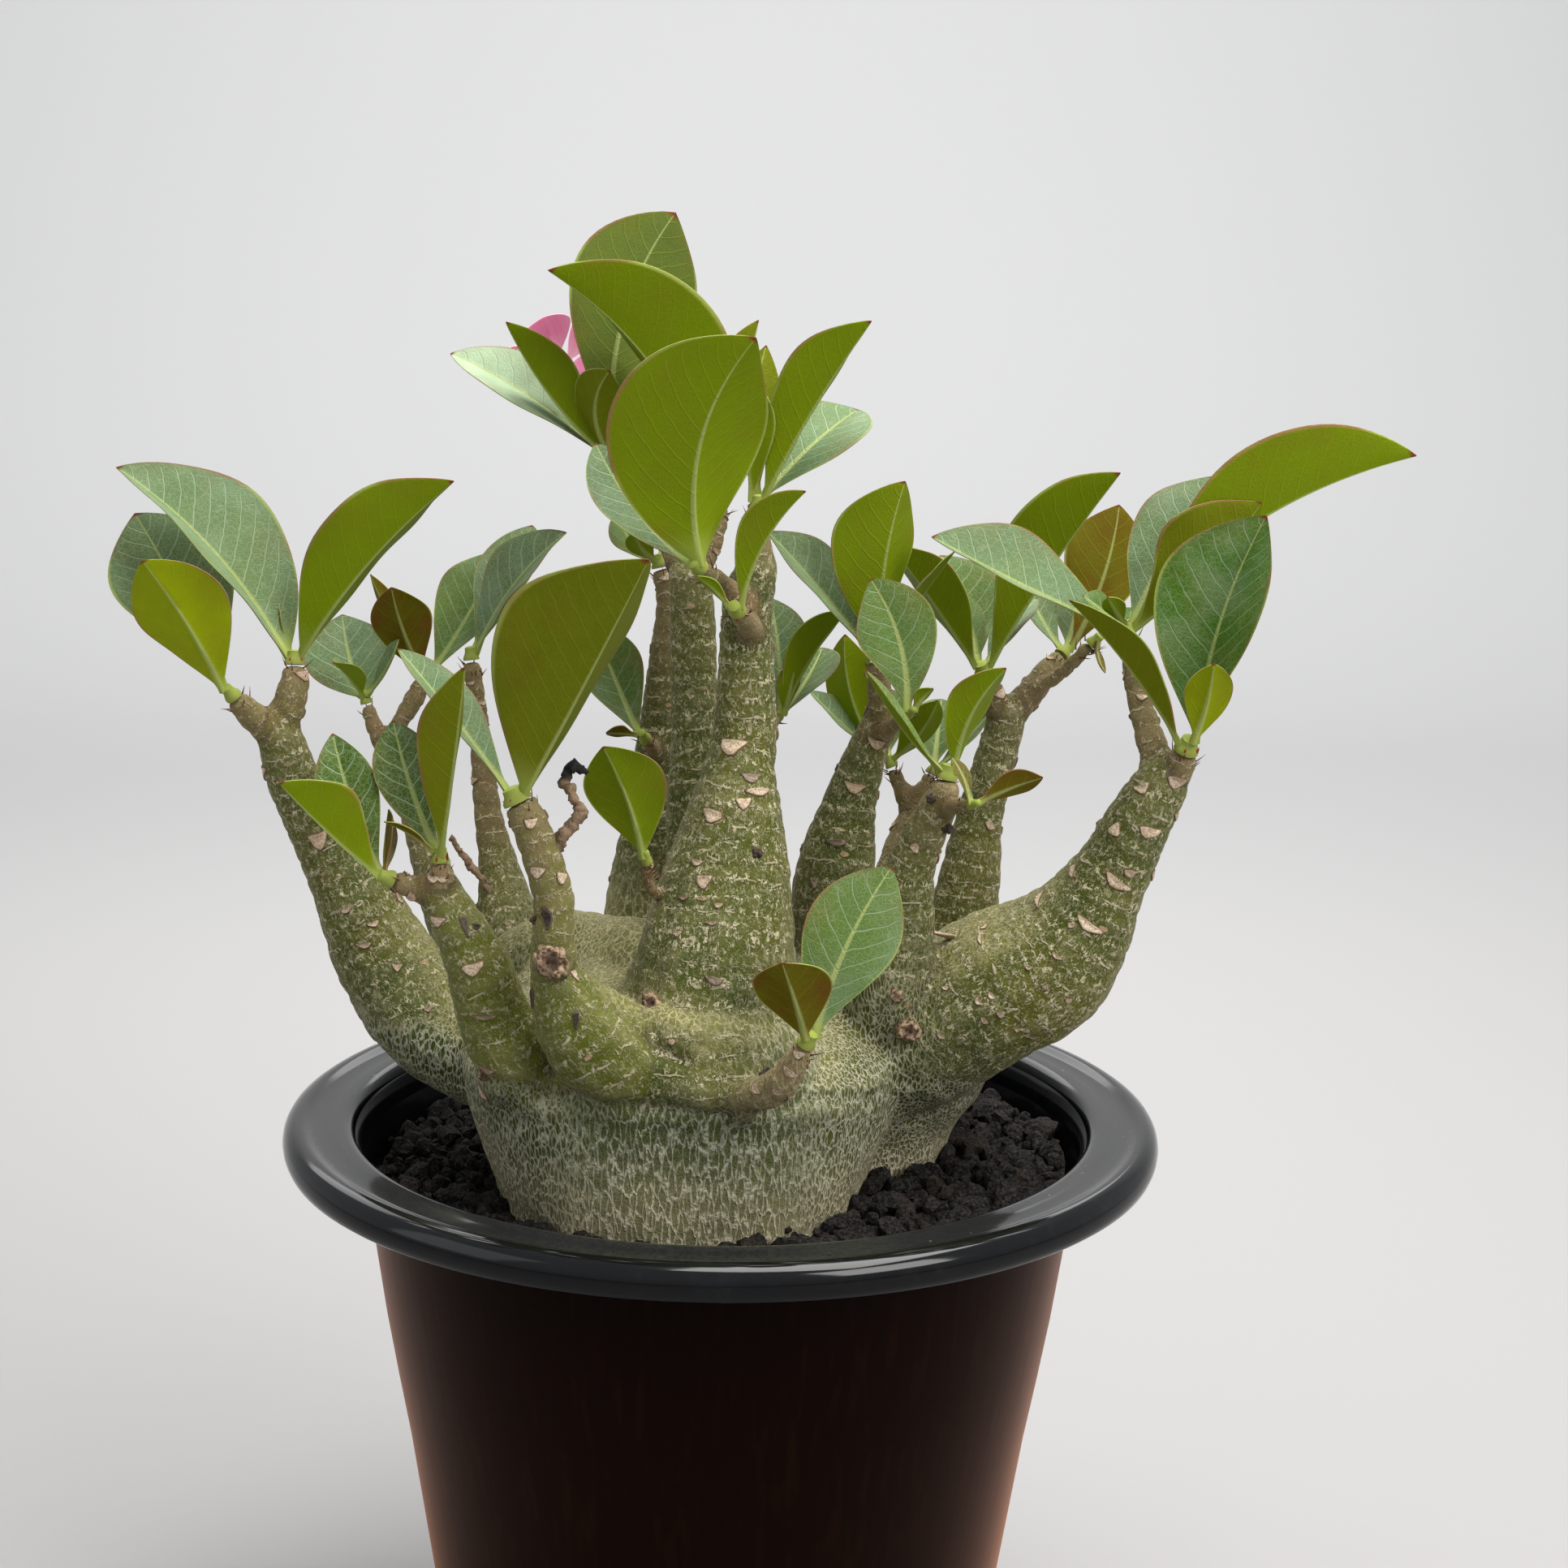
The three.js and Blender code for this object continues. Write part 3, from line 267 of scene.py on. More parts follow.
# Arms, stems and twigs: path points [x, y, z, radius] in mm, from inside the body to the tip.
LIMBS = {
    "left_arm": [
        [-54, -14, 203, 13], [-65, -12, 208, 13], [-76, -9, 212, 13], [-83, -6, 219, 13.5],
        [-89, -3, 228, 13.5],
        [-95, -1, 238, 12], [-100, 0, 249, 10.5], [-106, 0, 260, 8.5], [-111, -2, 271, 7.5],
        [-115, -4, 281, 7], [-117, -6, 290, 6], [-119, -7, 295, 5],
    ],
    "left_arm_twig_left": [
        [-118, -7, 292, 4], [-122, -9, 296, 4], [-125, -12, 300, 3.5], [-127, -14, 303, 2.5],
    ],
    "left_arm_twig_right": [
        [-119, -6, 292, 4.5], [-116, -4, 298, 4.5], [-114, -3, 305, 4], [-114, -2, 310, 3],
    ],
    "front_left": [
        [-42, -38, 208, 12], [-49, -52, 219, 11.5], [-55, -55, 231, 9.5], [-58, -58, 243, 8.5],
        [-62, -60, 253, 7], [-66, -60, 261, 5.5], [-69, -60, 266, 4.5],
    ],
    "front_left_twig_left": [[-69, -60, 263, 3.5], [-74, -62, 265, 3], [-78, -64, 267, 2.5]],
    "front_left_twig_right": [[-69, -60, 263, 4], [-67, -62, 268, 3.5], [-67, -62, 271, 2.5]],
    "front_mid": [
        [-16, -52, 211, 10], [-21, -58, 218, 12.5], [-27, -63, 226, 13.5], [-34, -67, 236, 11],
        [-38, -70, 246, 7], [-39, -72, 255, 5.3], [-39, -72, 266, 5], [-44, -72, 282, 4.5],
        [-47, -72, 288, 4],
    ],
    "centre": [
        [-3, -42, 206, 24], [-3, -42, 212, 30], [-3, -42, 218, 32], [-3, -42, 225, 29.5],
        [-2, -41, 233, 24.5],
        [-1, -41, 243, 20.5], [0, -38, 253, 18.5], [3, -32, 279, 12.5], [4, -29, 290, 9.5],
        [5, -27, 299, 8],
        [5, -25, 330, 6.5], [7, -25, 339, 5.5], [7, -25, 347, 3.5], [7, -25, 354, 2.5],
    ],
    "centre_twig": [[7, -27, 330, 3], [2, -34, 334, 3], [-6, -44, 341, 2.5]],
    "centre_bud": [[6, -27, 324, 3], [6, -34, 326, 3], [3, -44, 331, 2.5]],
    "centre_rear_bud": [[7, -24, 291, 3], [7, -14, 294, 2.5], [11, -4, 297, 2], [13, 2, 298, 1.5]],
    "centre_side_bud": [[-10, -38, 256, 2], [-17, -47, 262, 1.5], [-18, -50, 269, 1.5]],
    "mid_left": [
        [-2, -2, 228, 13], [-3, 0, 239, 11.5], [-6, 2, 261, 10], [-8, 4, 276, 8.5], [-9, 5, 294, 6.5],
        [-10, 6, 324, 6], [-11, 6, 337, 5.5],
    ],
    "mid_left_twig_up": [[-11, 6, 332, 4], [-7, 8, 339, 3], [-4, 10, 346, 2.5], [-3, 12, 353, 2]],
    "mid_left_twig_left": [
        [-11, 6, 332, 4], [-16, 10, 341, 3], [-22, 16, 351, 3], [-29, 20, 359, 2.5], [-32, 22, 363, 2],
    ],
    "flower_stalk": [[-29, 20, 359, 1.5], [-33, 30, 364, 1.5], [-36, 36, 368, 1.5]],
    "left_saddle": [
        [-6, -18, 224, 18], [-20, -8, 230, 14.5], [-33, 2, 231, 12.5], [-46, 12, 229, 12],
        [-58, 20, 222, 11],
    ],
    "rear_left_tall": [
        [-24, 22, 220, 12], [-24, 25, 229, 11], [-25, 28, 244, 9], [-23, 30, 262, 7.5],
        [-21, 32, 280, 6.5],
        [-18, 34, 314, 4.5], [-18, 35, 326, 3.5], [-20, 36, 334, 3],
    ],
    "rear_left_bud": [[-21, 31, 281, 3], [-21, 26, 284, 2.5], [-23, 22, 288, 2]],
    "rear_left_thin": [
        [-52, 20, 212, 12], [-59, 28, 222, 10], [-63, 34, 237, 8], [-66, 38, 250, 5.5], [-69, 40, 264, 4],
        [-72, 44, 289, 3], [-74, 45, 306, 2.5],
    ],
    "rear_far_left": [
        [-58, 16, 210, 11], [-68, 28, 219, 10], [-77, 36, 229, 8], [-84, 42, 242, 6], [-89, 46, 255, 4.5],
        [-94, 48, 268, 3.5], [-100, 50, 281, 3],
    ],
    "rear_far_left_twig_left": [[-99, 50, 278, 3], [-103, 51, 286, 2.5], [-105, 52, 292, 2]],
    "rear_far_left_twig_right": [
        [-99, 50, 278, 3], [-96, 51, 286, 2.5], [-92, 53, 293, 3], [-89, 55, 299, 2.5],
    ],
    "right_centre": [
        [30, -6, 224, 14], [30, -4, 235, 13], [29, -4, 250, 11.5], [30, -5, 263, 10], [32, -6, 275, 7.5],
        [35, -7, 286, 6], [38, -8, 295, 5], [40, -8, 302, 4], [38, -8, 315, 2.5],
    ],
    "right_centre_bud": [[38, -8, 295, 3], [41, -13, 297, 2.5], [46, -22, 303, 1.5]],
    "front_right": [
        [40, -24, 224, 12], [42, -30, 235, 11], [45, -34, 249, 9], [46, -36, 260, 7.5], [48, -38, 270, 6],
        [54, -42, 285, 4.5], [55, -42, 290, 3],
    ],
    "front_right_bud": [[54, -42, 283, 2.5], [58, -50, 285, 2], [60, -53, 286, 1.5]],
    "rear_right": [
        [50, 11, 212, 13], [57, 15, 223, 12], [64, 18, 238, 10.5], [67, 20, 253, 8.5], [69, 22, 268, 6.5],
        [75, 24, 292, 5.5], [76, 24, 299, 5],
    ],
    "rear_right_twig_left": [[75, 24, 295, 4], [71, 22, 303, 3.5], [69, 20, 308, 3]],
    "rear_right_twig_right": [
        [75, 24, 295, 4.5], [82, 27, 302, 4], [87, 30, 308, 3.5], [91, 33, 312, 2.5],
    ],
    "rear_right_twig_far": [[80, 25, 301, 2.5], [90, 21, 309, 2], [97, 18, 317, 2]],
    "rear_centre_right": [
        [36, 26, 216, 11], [42, 36, 231, 8], [46, 40, 247, 5], [49, 44, 258, 4], [52, 46, 264, 3.5],
    ],
    "rear_centre_right_twig_left": [[52, 46, 262, 3], [49, 47, 270, 2.5], [46, 48, 277, 2]],
    "rear_centre_right_twig_right": [[52, 46, 262, 3], [54, 48, 269, 2.5], [57, 50, 275, 2]],
    "right_arm": [
        [30, -16, 208, 18], [42, -18, 214, 19], [55, -21, 221, 19.5], [68, -24, 231, 20],
        [82, -26, 240, 18.5],
        [92, -29, 252, 14], [99, -32, 266, 10], [104, -34, 278, 8.5], [109, -35, 288, 7],
        [111, -35, 293, 5.5],
    ],
    "right_arm_twig_left": [
        [111, -35, 288, 5], [108, -30, 296, 4], [106, -26, 303, 3.5], [104, -22, 311, 3],
        [102, -18, 323, 2.5],
    ],
    "right_arm_twig_right": [[110, -35, 287, 5], [113, -38, 294, 4], [114, -40, 298, 3.5]],
    "front_twig": [
        [0, -60, 213, 6], [5, -67, 214, 5.5], [10, -74, 218, 4.5], [16, -80, 224, 4], [21, -84, 234, 2.5],
    ],
}
BARK_VOXEL = 1.31
LEAST_FUSED_RADIUS = 2.0


def unit(vector):
    return vector / np.linalg.norm(vector)


def ring_points(centre, first, second, girth, sides):
    """A ring of points round a centre, in the plane of two cross directions."""
    turns = [2 * math.pi * k / sides for k in range(sides)]
    return [centre + girth * (first * math.cos(turn) + second * math.sin(turn)) for turn in turns]


def smooth_course(points, gap=1.6):
    """Points about every gap mm on a smooth line through the rows of a table."""
    rows = np.array(points, float)
    ends = np.vstack([2 * rows[0] - rows[1], rows, 2 * rows[-1] - rows[-2]])
    course = []
    for a, b, c, d in zip(ends[:-3], ends[1:-2], ends[2:-1], ends[3:]):
        count = max(2, int(np.linalg.norm((c - b)[:3]) / gap) + 1)
        for t in np.arange(count) / count:
            square, cube = 2 * a - 5 * b + 4 * c - d, 3 * b - a - 3 * c + d
            course.append(0.5 * (2 * b + (c - a) * t + square * t**2 + cube * t**3))
    course.append(rows[-1])
    return np.array(course)


def along_course(course):
    """Tangents, two steady cross directions and the distance along a course, in mm."""
    centres = course[:, :3]
    tangents = np.gradient(centres, axis=0)
    tangents /= np.linalg.norm(tangents, axis=1)[:, None]
    first = np.zeros_like(centres)
    across = np.array([0.0, -1.0, 0.0])
    for i, tangent in enumerate(tangents):
        across = across - tangent * np.dot(across, tangent)
        across = across / np.linalg.norm(across)
        first[i] = across
    second = np.cross(tangents, first)
    steps = np.linalg.norm(np.diff(centres, axis=0), axis=1)
    return tangents, first, second, np.concatenate([[0], np.cumsum(steps)])


def round_limb(name, course, sides=4):
    """A round tube along a course, as a curve with its own thickness at each point, made a mesh."""
    curve = bpy.data.curves.new(name, "CURVE")
    curve.dimensions = "3D"
    curve.bevel_depth = 1
    curve.bevel_resolution = sides
    curve.use_fill_caps = True
    spline = curve.splines.new("POLY")
    spline.points.add(len(course) - 1)
    for point, (x, y, z, radius) in zip(spline.points, course * MM):
        point.co = (x, y, z, 1)
        point.radius = radius
    limb = bpy.data.objects.new(name, curve)
    bpy.context.scene.collection.objects.link(limb)
    deselect_all()
    limb.select_set(True)
    bpy.context.view_layer.objects.active = limb
    bpy.ops.object.convert(target="MESH")
    return bpy.context.object


def mesh_piece(name, points, faces):
    mesh = bpy.data.meshes.new(name)
    mesh.from_pydata([tuple(p) for p in points], [], faces)
    piece = bpy.data.objects.new(name, mesh)
    bpy.context.scene.collection.objects.link(piece)
    return piece


def skin_faces(rings, sides):
    """Faces of a closed skin through rings of equal count, counter-clockwise about the way ahead."""
    faces = [tuple(reversed(range(sides)))]
    for i in range(rings - 1):
        for j in range(sides):
            a, b = i * sides + j, i * sides + (j + 1) % sides
            faces.append((a, b, b + sides, a + sides))
    faces.append(tuple((rings - 1) * sides + j for j in range(sides)))
    return faces


def lobe(name, sections, sides=72):
    turns = np.arange(sides) * 2 * math.pi / sides
    ways = np.array([np.cos(turns), np.sin(turns)])
    across, deep = np.sign(ways) * np.abs(ways) ** (2 / LOBE_SQUARENESS)
    points = []
    course = smooth_course(sections, 3.0)
    for z, x, y, half_x, half_y in course:
        points.append(np.stack([x + half_x * across, y + half_y * deep, np.full(sides, z)], 1) * MM)
    return mesh_piece(name, np.vstack(points), skin_faces(len(course), sides))


def join_pieces(pieces, name):
    deselect_all()
    for piece in pieces:
        piece.select_set(True)
    bpy.context.view_layer.objects.active = pieces[0]
    if len(pieces) > 1:
        bpy.ops.object.join()
    return name_piece(name)


def gathered_mesh(name, skins):
    """One piece from several closed skins, each a tuple that starts with points in mm and faces."""
    points, faces = [], []
    base = 0
    for skin in skins:
        points.append(skin[0])
        faces += [tuple(base + v for v in face) for face in skin[1]]
        base += len(skin[0])
    return join_pieces([mesh_piece(name, np.vstack(points) * MM, faces)], name)


def apply_modifier(piece, kind, **settings):
    modifier = piece.modifiers.new(kind.lower(), kind)
    for name, value in settings.items():
        setattr(modifier, name, value)
    deselect_all()
    piece.select_set(True)
    bpy.context.view_layer.objects.active = piece
    bpy.ops.object.modifier_apply(modifier=modifier.name)


def read_points(piece):
    flat = np.zeros(len(piece.data.vertices) * 3)
    piece.data.vertices.foreach_get("co", flat)
    return flat.reshape(-1, 3)


def write_points(piece, points):
    piece.data.vertices.foreach_set("co", points.astype(np.float32).ravel())
    piece.data.update()


def read_normals(piece):
    flat = np.zeros(len(piece.data.vertices) * 3)
    piece.data.vertex_normals.foreach_get("vector", flat)
    return flat.reshape(-1, 3)


def keep_values(piece, name, values):
    """Keeps a number, a vector or a colour for each vertex, for the finish to read."""
    kinds = {1: ("FLOAT", "value"), 3: ("FLOAT_VECTOR", "vector"), 4: ("FLOAT_COLOR", "color")}
    values = np.asarray(values, np.float32)
    kind, field = kinds[1 if values.ndim == 1 else values.shape[1]]
    attribute = piece.data.attributes.new(name, kind, "POINT")
    attribute.data.foreach_set(field, values.ravel())


def soft_step(low, high, value):
    t = np.clip((value - low) / (high - low), 0, 1)
    return t * t * (3 - 2 * t)


def soft_waves(points, size, seed):
    """A smooth lumpy field from -1 to 1 with lumps about size long, from a few crossed waves."""
    rng = np.random.default_rng(seed)
    total = np.zeros(len(points))
    for _ in range(14):
        way = rng.normal(size=3)
        way *= rng.uniform(0.6, 1.5) * math.pi / (size * np.linalg.norm(way))
        total += np.sin(points @ way + rng.uniform(0, 2 * math.pi))
    return total / 3.8


def is_fused(course):
    """Whether a limb is thick enough for the fused body."""
    return course[:, 3].min() >= LEAST_FUSED_RADIUS - 0.6 and course[:, 3].max() > LEAST_FUSED_RADIUS


COURSES = {name: smooth_course(path) for name, path in LIMBS.items()}
stock = [lobe("main_lobe", MAIN_LOBE), lobe("right_lobe", RIGHT_LOBE)]
for name, course in COURSES.items():
    if is_fused(course):
        stock.append(round_limb(name, course + np.array([0, 0, 0, 0.25])))
caudex = join_pieces(stock, "caudex_bark")
apply_modifier(caudex, "REMESH", mode="VOXEL", voxel_size=BARK_VOXEL * MM, use_smooth_shade=True)
apply_modifier(caudex, "SMOOTH", factor=0.5, iterations=7)

# Every vertex finds the limb that it lies on, for the rings that run round each limb.
line_rows = []
for number, course in enumerate(COURSES.values()):
    tangents, first, second, along = along_course(course)
    numbers = np.full((len(course), 1), number)
    line_rows.append(np.hstack([course, tangents, first, second, along[:, None], numbers]))
line_rows = np.vstack(line_rows)


def limb_place(points):
    """For points in mm: how far off the nearest limb they stand, its thickness, their place along
    and round it, and its number."""
    off = np.zeros(len(points))
    nearest = np.zeros(len(points), int)
    for start in range(0, len(points), 4000):
        part = points[start:start + 4000, None, :] - line_rows[None, :, :3]
        reach = np.sqrt((part**2).sum(2)) - line_rows[None, :, 3]
        nearest[start:start + 4000] = reach.argmin(1)
        off[start:start + 4000] = reach.min(1)
    rows = line_rows[nearest]
    out = points - rows[:, :3]
    along = rows[:, 13] + (out * rows[:, 4:7]).sum(1)
    place = np.stack([(out * rows[:, 7:10]).sum(1), (out * rows[:, 10:13]).sum(1), along], 1)
    return off, rows[:, 3], place, rows[:, 14].astype(int)


edges = np.zeros(len(caudex.data.edges) * 2, int)
caudex.data.edges.foreach_get("vertices", edges)
edges = edges.reshape(-1, 2)
neighbour_count = np.bincount(edges.ravel())


def even_out(values, rounds):
    """Averages each vertex's value or place with its neighbours', over and over."""
    values = np.asarray(values, float)
    columns = values.reshape(len(values), -1).T.copy()
    for _ in range(rounds):
        for column in columns:
            total = np.bincount(edges[:, 0], column[edges[:, 1]], len(column))
            total += np.bincount(edges[:, 1], column[edges[:, 0]], len(column))
            column += 0.5 * (total / neighbour_count - column)
    return columns.T.reshape(values.shape)


# Above the shoulder the limbs flow into each other: the crotches between them are rounded out.
points = read_points(caudex) / MM
crotch = soft_step(0.5, 5, limb_place(points)[0]) * soft_step(221, 231, points[:, 2])
crotch *= soft_step(-56, -40, points[:, 1])
crotch = np.clip(1.6 * even_out(crotch, 26), 0, 1)[:, None]
for _ in range(4):
    points += (even_out(points, 26) - points) * crotch
write_points(caudex, points * MM)

# Seen from the front, the fold between the thick front limb and the crown behind it, as (x, z).
FRONT_FOLD = [(-33.5, 249), (-30, 244.5), (-26.5, 240.5), (-22, 237), (-18, 233), (-14, 228.5), (-8, 225.5)]


def near_line(places, line, width):
    """How near places stand to a line of corners, from 0 to 1."""
    least = np.full(len(places), 1e9)
    for start, end in zip(np.array(line[:-1], float), np.array(line[1:], float)):
        share = np.clip((places - start) @ (end - start) / ((end - start) @ (end - start)), 0, 1)
        least = np.minimum(least, np.linalg.norm(places - start - share[:, None] * (end - start), axis=1))
    return np.exp(-(least / width) ** 2)


def near_spot(points, x, z, half_x, half_z):
    """How near points stand to a spot as seen from the front, from 0 to 1."""
    return np.exp(-((points[:, 0] - x) / half_x) ** 2 - ((points[:, 2] - z) / half_z) ** 2)


normals = read_normals(caudex)
off, thickness, grain, owner = limb_place(points)
is_limb = 1 - soft_step(0.8, 7.0, off)
wobble = soft_waves(points, 9, 3)
ringed = np.maximum(is_limb, soft_step(219, 231, points[:, 2] + 3 * wobble))
in_front = 1 - soft_step(-48, -28, points[:, 1])
over_shoulder = points[:, 2] - 214 + 0.06 * points[:, 0] + 1.2 * wobble
ringed *= soft_step(-3.5, 2.5, over_shoulder)
right_patch = near_spot(points, 31, 222, 17, 20) * (1 - soft_step(-20, 5, points[:, 1]))
saddle_patch = near_spot(points, -30, 231, 20, 15) * (1 - in_front)
is_green = np.isin(owner, [list(LIMBS).index(name) for name in ("front_mid", "front_left")]) * is_limb
ringed *= 1 - np.clip(1.7 * right_patch + 1.5 * saddle_patch, 0, 1)
young = 1 - soft_step(3.2, 6.4, thickness)
ring_phase = grain[:, 2] / 5.2 + 0.28 * wobble + 0.5 * np.sin(grain[:, 2] / 17)
ring_groove = np.exp(-(((ring_phase % 1) - 0.5) / 0.16) ** 2)
lumps = 0.55 * soft_waves(points, 26, 5) + 0.25 * soft_waves(points, 9, 7) + 0.12 * soft_waves(points, 4, 9)
push = lumps * soft_step(3, 14, thickness + 20 * (1 - is_limb)) - 0.3 * ring_groove * is_limb
push -= 1.1 * np.exp(-((over_shoulder + 0.5) / 1.7) ** 2) * in_front
at_front = 1 - soft_step(-56, -50, points[:, 1])
push -= 1.8 * near_line(points[:, [0, 2]], FRONT_FOLD, 1.9) * at_front
# Upward-facing tops of thick limbs, to be painted paler: painted light from above.
sunlit = soft_step(0.35, 0.8, normals[:, 2]) * soft_step(9, 13, thickness) * is_limb
by_fold = near_line(points[:, [0, 2]] - [5, 4], FRONT_FOLD, 4.5) * at_front
write_points(caudex, (points + normals * push[:, None]) * MM)

points = read_points(caudex) / MM
crease = ((even_out(points, 12) - points) * read_normals(caudex)).sum(1)
keep_values(caudex, "grain", grain * MM)
keep_values(caudex, "ringed", even_out(ringed, 4))
keep_values(caudex, "young", even_out(young, 6))
keep_values(caudex, "crease", even_out(np.clip(crease / 0.8, -1, 1), 2))
keep_values(caudex, "greener", even_out(is_green, 4))
# Pale bark patches by the right lobe, on the saddle and beside the front fold, plus painted light on the
# upward tops of thick limbs.
pale_patches_and_painted_light = 0.22 * right_patch + 1.1 * saddle_patch + 0.5 * by_fold + 0.5 * sunlit
keep_values(caudex, "pale_patches_and_painted_light", even_out(np.clip(pale_patches_and_painted_light, 0, 1), 4))
caudex_surface = BVHTree.FromPolygons(
    [Vector(p) for p in points], [tuple(face.vertices) for face in caudex.data.polygons])


def new_effect(name, inputs, output):
    """A shared shader effect with named number or vector inputs and one number out."""
    effect = bpy.data.node_groups.new(name, "ShaderNodeTree")
    for label, value in inputs.items():
        kind = "NodeSocketVector" if value is None else "NodeSocketFloat"
        socket = effect.interface.new_socket(label, in_out="INPUT", socket_type=kind)
        if value is not None:
            socket.default_value = value
    effect.interface.new_socket(output, in_out="OUTPUT", socket_type="NodeSocketFloat")
    return effect, effect.nodes.new("NodeGroupInput").outputs, effect.nodes.new("NodeGroupOutput").inputs


# Fine net of lines between uneven cells, as on cracked bark or between the veins of a leaf.
net_inputs = {"Vector": None, "Scale": 400, "Warp": 0.3, "Width": 0.1}
net_effect, given, result = new_effect("fine_net", net_inputs, "Net")
scaled = vector_calc("SCALE", given["Vector"], {"Scale": given["Scale"]})
ripple = add_node("ShaderNodeTexNoise", {"Vector": scaled, "Scale": 1.1, "Detail": 3.0}).outputs["Color"]
ripple = vector_calc("SUBTRACT", ripple, {1: (0.5, 0.5, 0.5)})
warped = vector_calc("ADD", scaled, {1: vector_calc("SCALE", ripple, {"Scale": given["Warp"]})})
cell_sockets = {"Vector": warped, "Scale": 1.0}
cells = add_node("ShaderNodeTexVoronoi", cell_sockets, feature="DISTANCE_TO_EDGE").outputs[0]
fill(result, {"Net": between(cells, 0.0, given["Width"], 1.0, 0.0)})


def fine_net(vector, scale, warp, width):
    placed = add_node("ShaderNodeGroup", {}, vector.id_data, node_tree=net_effect)
    fill(placed.inputs, {"Vector": vector, "Scale": scale, "Warp": warp, "Width": width})
    return placed.outputs["Net"]


def kept_value(tree, name, output="Fac"):
    return add_node("ShaderNodeAttribute", {}, tree, attribute_name=name).outputs[output]


bark, tree, surface = new_finish("living_bark")
place = object_place(tree)
grain_place = kept_value(tree, "grain", "Vector")
is_ringed = kept_value(tree, "ringed")
is_young = kept_value(tree, "young")
in_crease = kept_value(tree, "crease")
heights = axes(place)["Z"]
lengths = axes(grain_place)["Z"]
sideways = axes(place)["X"]
patches = noise_value(place, 34, 4)
middling = noise_value(place, 150, 3)
fine = noise_value(place, 1000, 3)

# Below the shoulder: a fabric of upright green cells between pale wavy lines, finer to the right.
coarse_net = fine_net(stretch(place, (1, 1, 0.27)), 580, 1.05, 0.2)
ragged_net = fine_net(place, 1250, 1.6, 0.2)
coarse_net = times(coarse_net, between(fine, 0.36, 0.56, 0.45, 1.0))
coarse_net = larger(coarse_net, times(ragged_net, 0.22))
small_net = fine_net(stretch(place, (1, 1, 0.36)), 900, 1.0, 0.23)
at_sides = larger(between(sideways, 0.012, 0.032), between(sideways, -0.024, -0.046))
upright_lines = mix(at_sides, coarse_net, small_net)
upright_lines = times(upright_lines, between(middling, 0.3, 0.5, 0.7, 1.0))

# On the limbs: short wriggling strokes, thicker where a ring runs round the limb.
strokes = fine_net(stretch(grain_place, (1, 1, 0.5)), 760, 1.9, 0.19)
stipple = fine_net(place, 1200, 1.9, 0.17)
stroke_some = between(noise_value(place, 620, 2), 0.47, 0.56)
stipple_some = between(noise_value(place, 900, 2), 0.48, 0.6, 0.06, 0.45)
ring_noise = times(minus(noise_value(place, 110, 3), 0.5), 1.2)
ring_at = plus(calc("DIVIDE", lengths, 0.0046), ring_noise)
ring_edge = calc("ABSOLUTE", minus(calc("FRACT", ring_at), 0.5))
in_row = between(ring_edge, 0.4, 0.14, 0.35, 1.0)
round_lines = times(times(strokes, stroke_some), in_row)
round_lines = larger(round_lines, times(stipple, stipple_some))
net = mix(is_ringed, upright_lines, round_lines)
ring_line = between(ring_edge, 0.1, 0.03)
ring_breaks = between(noise_value(stretch(place, (1, 1, 1.6)), 230, 2), 0.5, 0.62)
ring_line = times(times(ring_line, ring_breaks), is_ringed)
fleck_sockets = {"Vector": stretch(grain_place, (0.6, 0.6, 1.2)), "Scale": 170.0, "Randomness": 1.0}
flecks = add_node("ShaderNodeTexVoronoi", fleck_sockets).outputs["Distance"]
fleck_some = between(noise_value(place, 70, 2), 0.5, 0.6)
fleck = times(between(flecks, 0.17, 0.12), times(fleck_some, is_ringed))

olive = blend(between(patches, 0.3, 0.7), (0.03, 0.055, 0.004, 1), (0.082, 0.086, 0.004, 1))
greyed = blend(patches, (0.026, 0.05, 0.004, 1), (0.056, 0.074, 0.01, 1))
olive = blend(times(kept_value(tree, "greener"), 0.7), olive, (0.105, 0.125, 0.003, 1))
skin = blend(is_ringed, greyed, olive)
skin = blend(between(fine, 0.4, 0.7, 0.0, 0.25), skin, (0.12, 0.12, 0.015, 1))
wood = blend(fine, (0.13, 0.066, 0.028, 1), (0.26, 0.17, 0.085, 1))
skin = layered(skin, [
    (times(is_young, between(middling, 0.3, 0.7, 0.45, 0.95)), wood),
    # Hollows and crotches between the limbs are darkened: painted shade.
    (times(between(in_crease, 0.1, 0.7), 0.6), (0.03, 0.022, 0.007, 1)),
])
worn = between(in_crease, -0.05, -0.6)
chalk = blend(patches, (0.62, 0.56, 0.35, 1), (0.78, 0.71, 0.48, 1))
chalk = blend(is_ringed, (0.5, 0.49, 0.37, 1), chalk)
chalk = blend(is_young, chalk, (0.5, 0.37, 0.23, 1))
net_strength = mix(is_ringed, 0.85, 0.92)
net_strength = times(net_strength, between(kept_value(tree, "greener"), 0.2, 0.8, 1.0, 0.75))
skin = layered(skin, [
    (times(net, net_strength), chalk),
    (times(ring_line, 0.75), (0.6, 0.53, 0.35, 1)),
    (times(fleck, 0.85), (0.5, 0.34, 0.21, 1)),
    (times(worn, 0.2), (0.42, 0.38, 0.2, 1)),
])
# Pale bark patches, and painted light on the tops of thick limbs.
pale_patches_and_painted_light = times(kept_value(tree, "pale_patches_and_painted_light"), between(middling, 0.25, 0.6, 0.45, 0.8))
skin = blend(pale_patches_and_painted_light, skin, blend(upright_lines, (0.2, 0.19, 0.05, 1), (0.6, 0.53, 0.3, 1)))
near_soil = plus(heights, times(minus(patches, 0.5), 0.02))
sandy = blend(upright_lines, (0.19, 0.18, 0.08, 1), (0.7, 0.61, 0.43, 1))
skin = blend(between(near_soil, 0.207, 0.183, 0.0, 0.8), skin, sandy)
relief = plus(times(net, 0.8), times(ring_line, 0.8))
relief = plus(relief, times(fine, 0.4))
relief = plus(relief, times(fleck, 0.9))
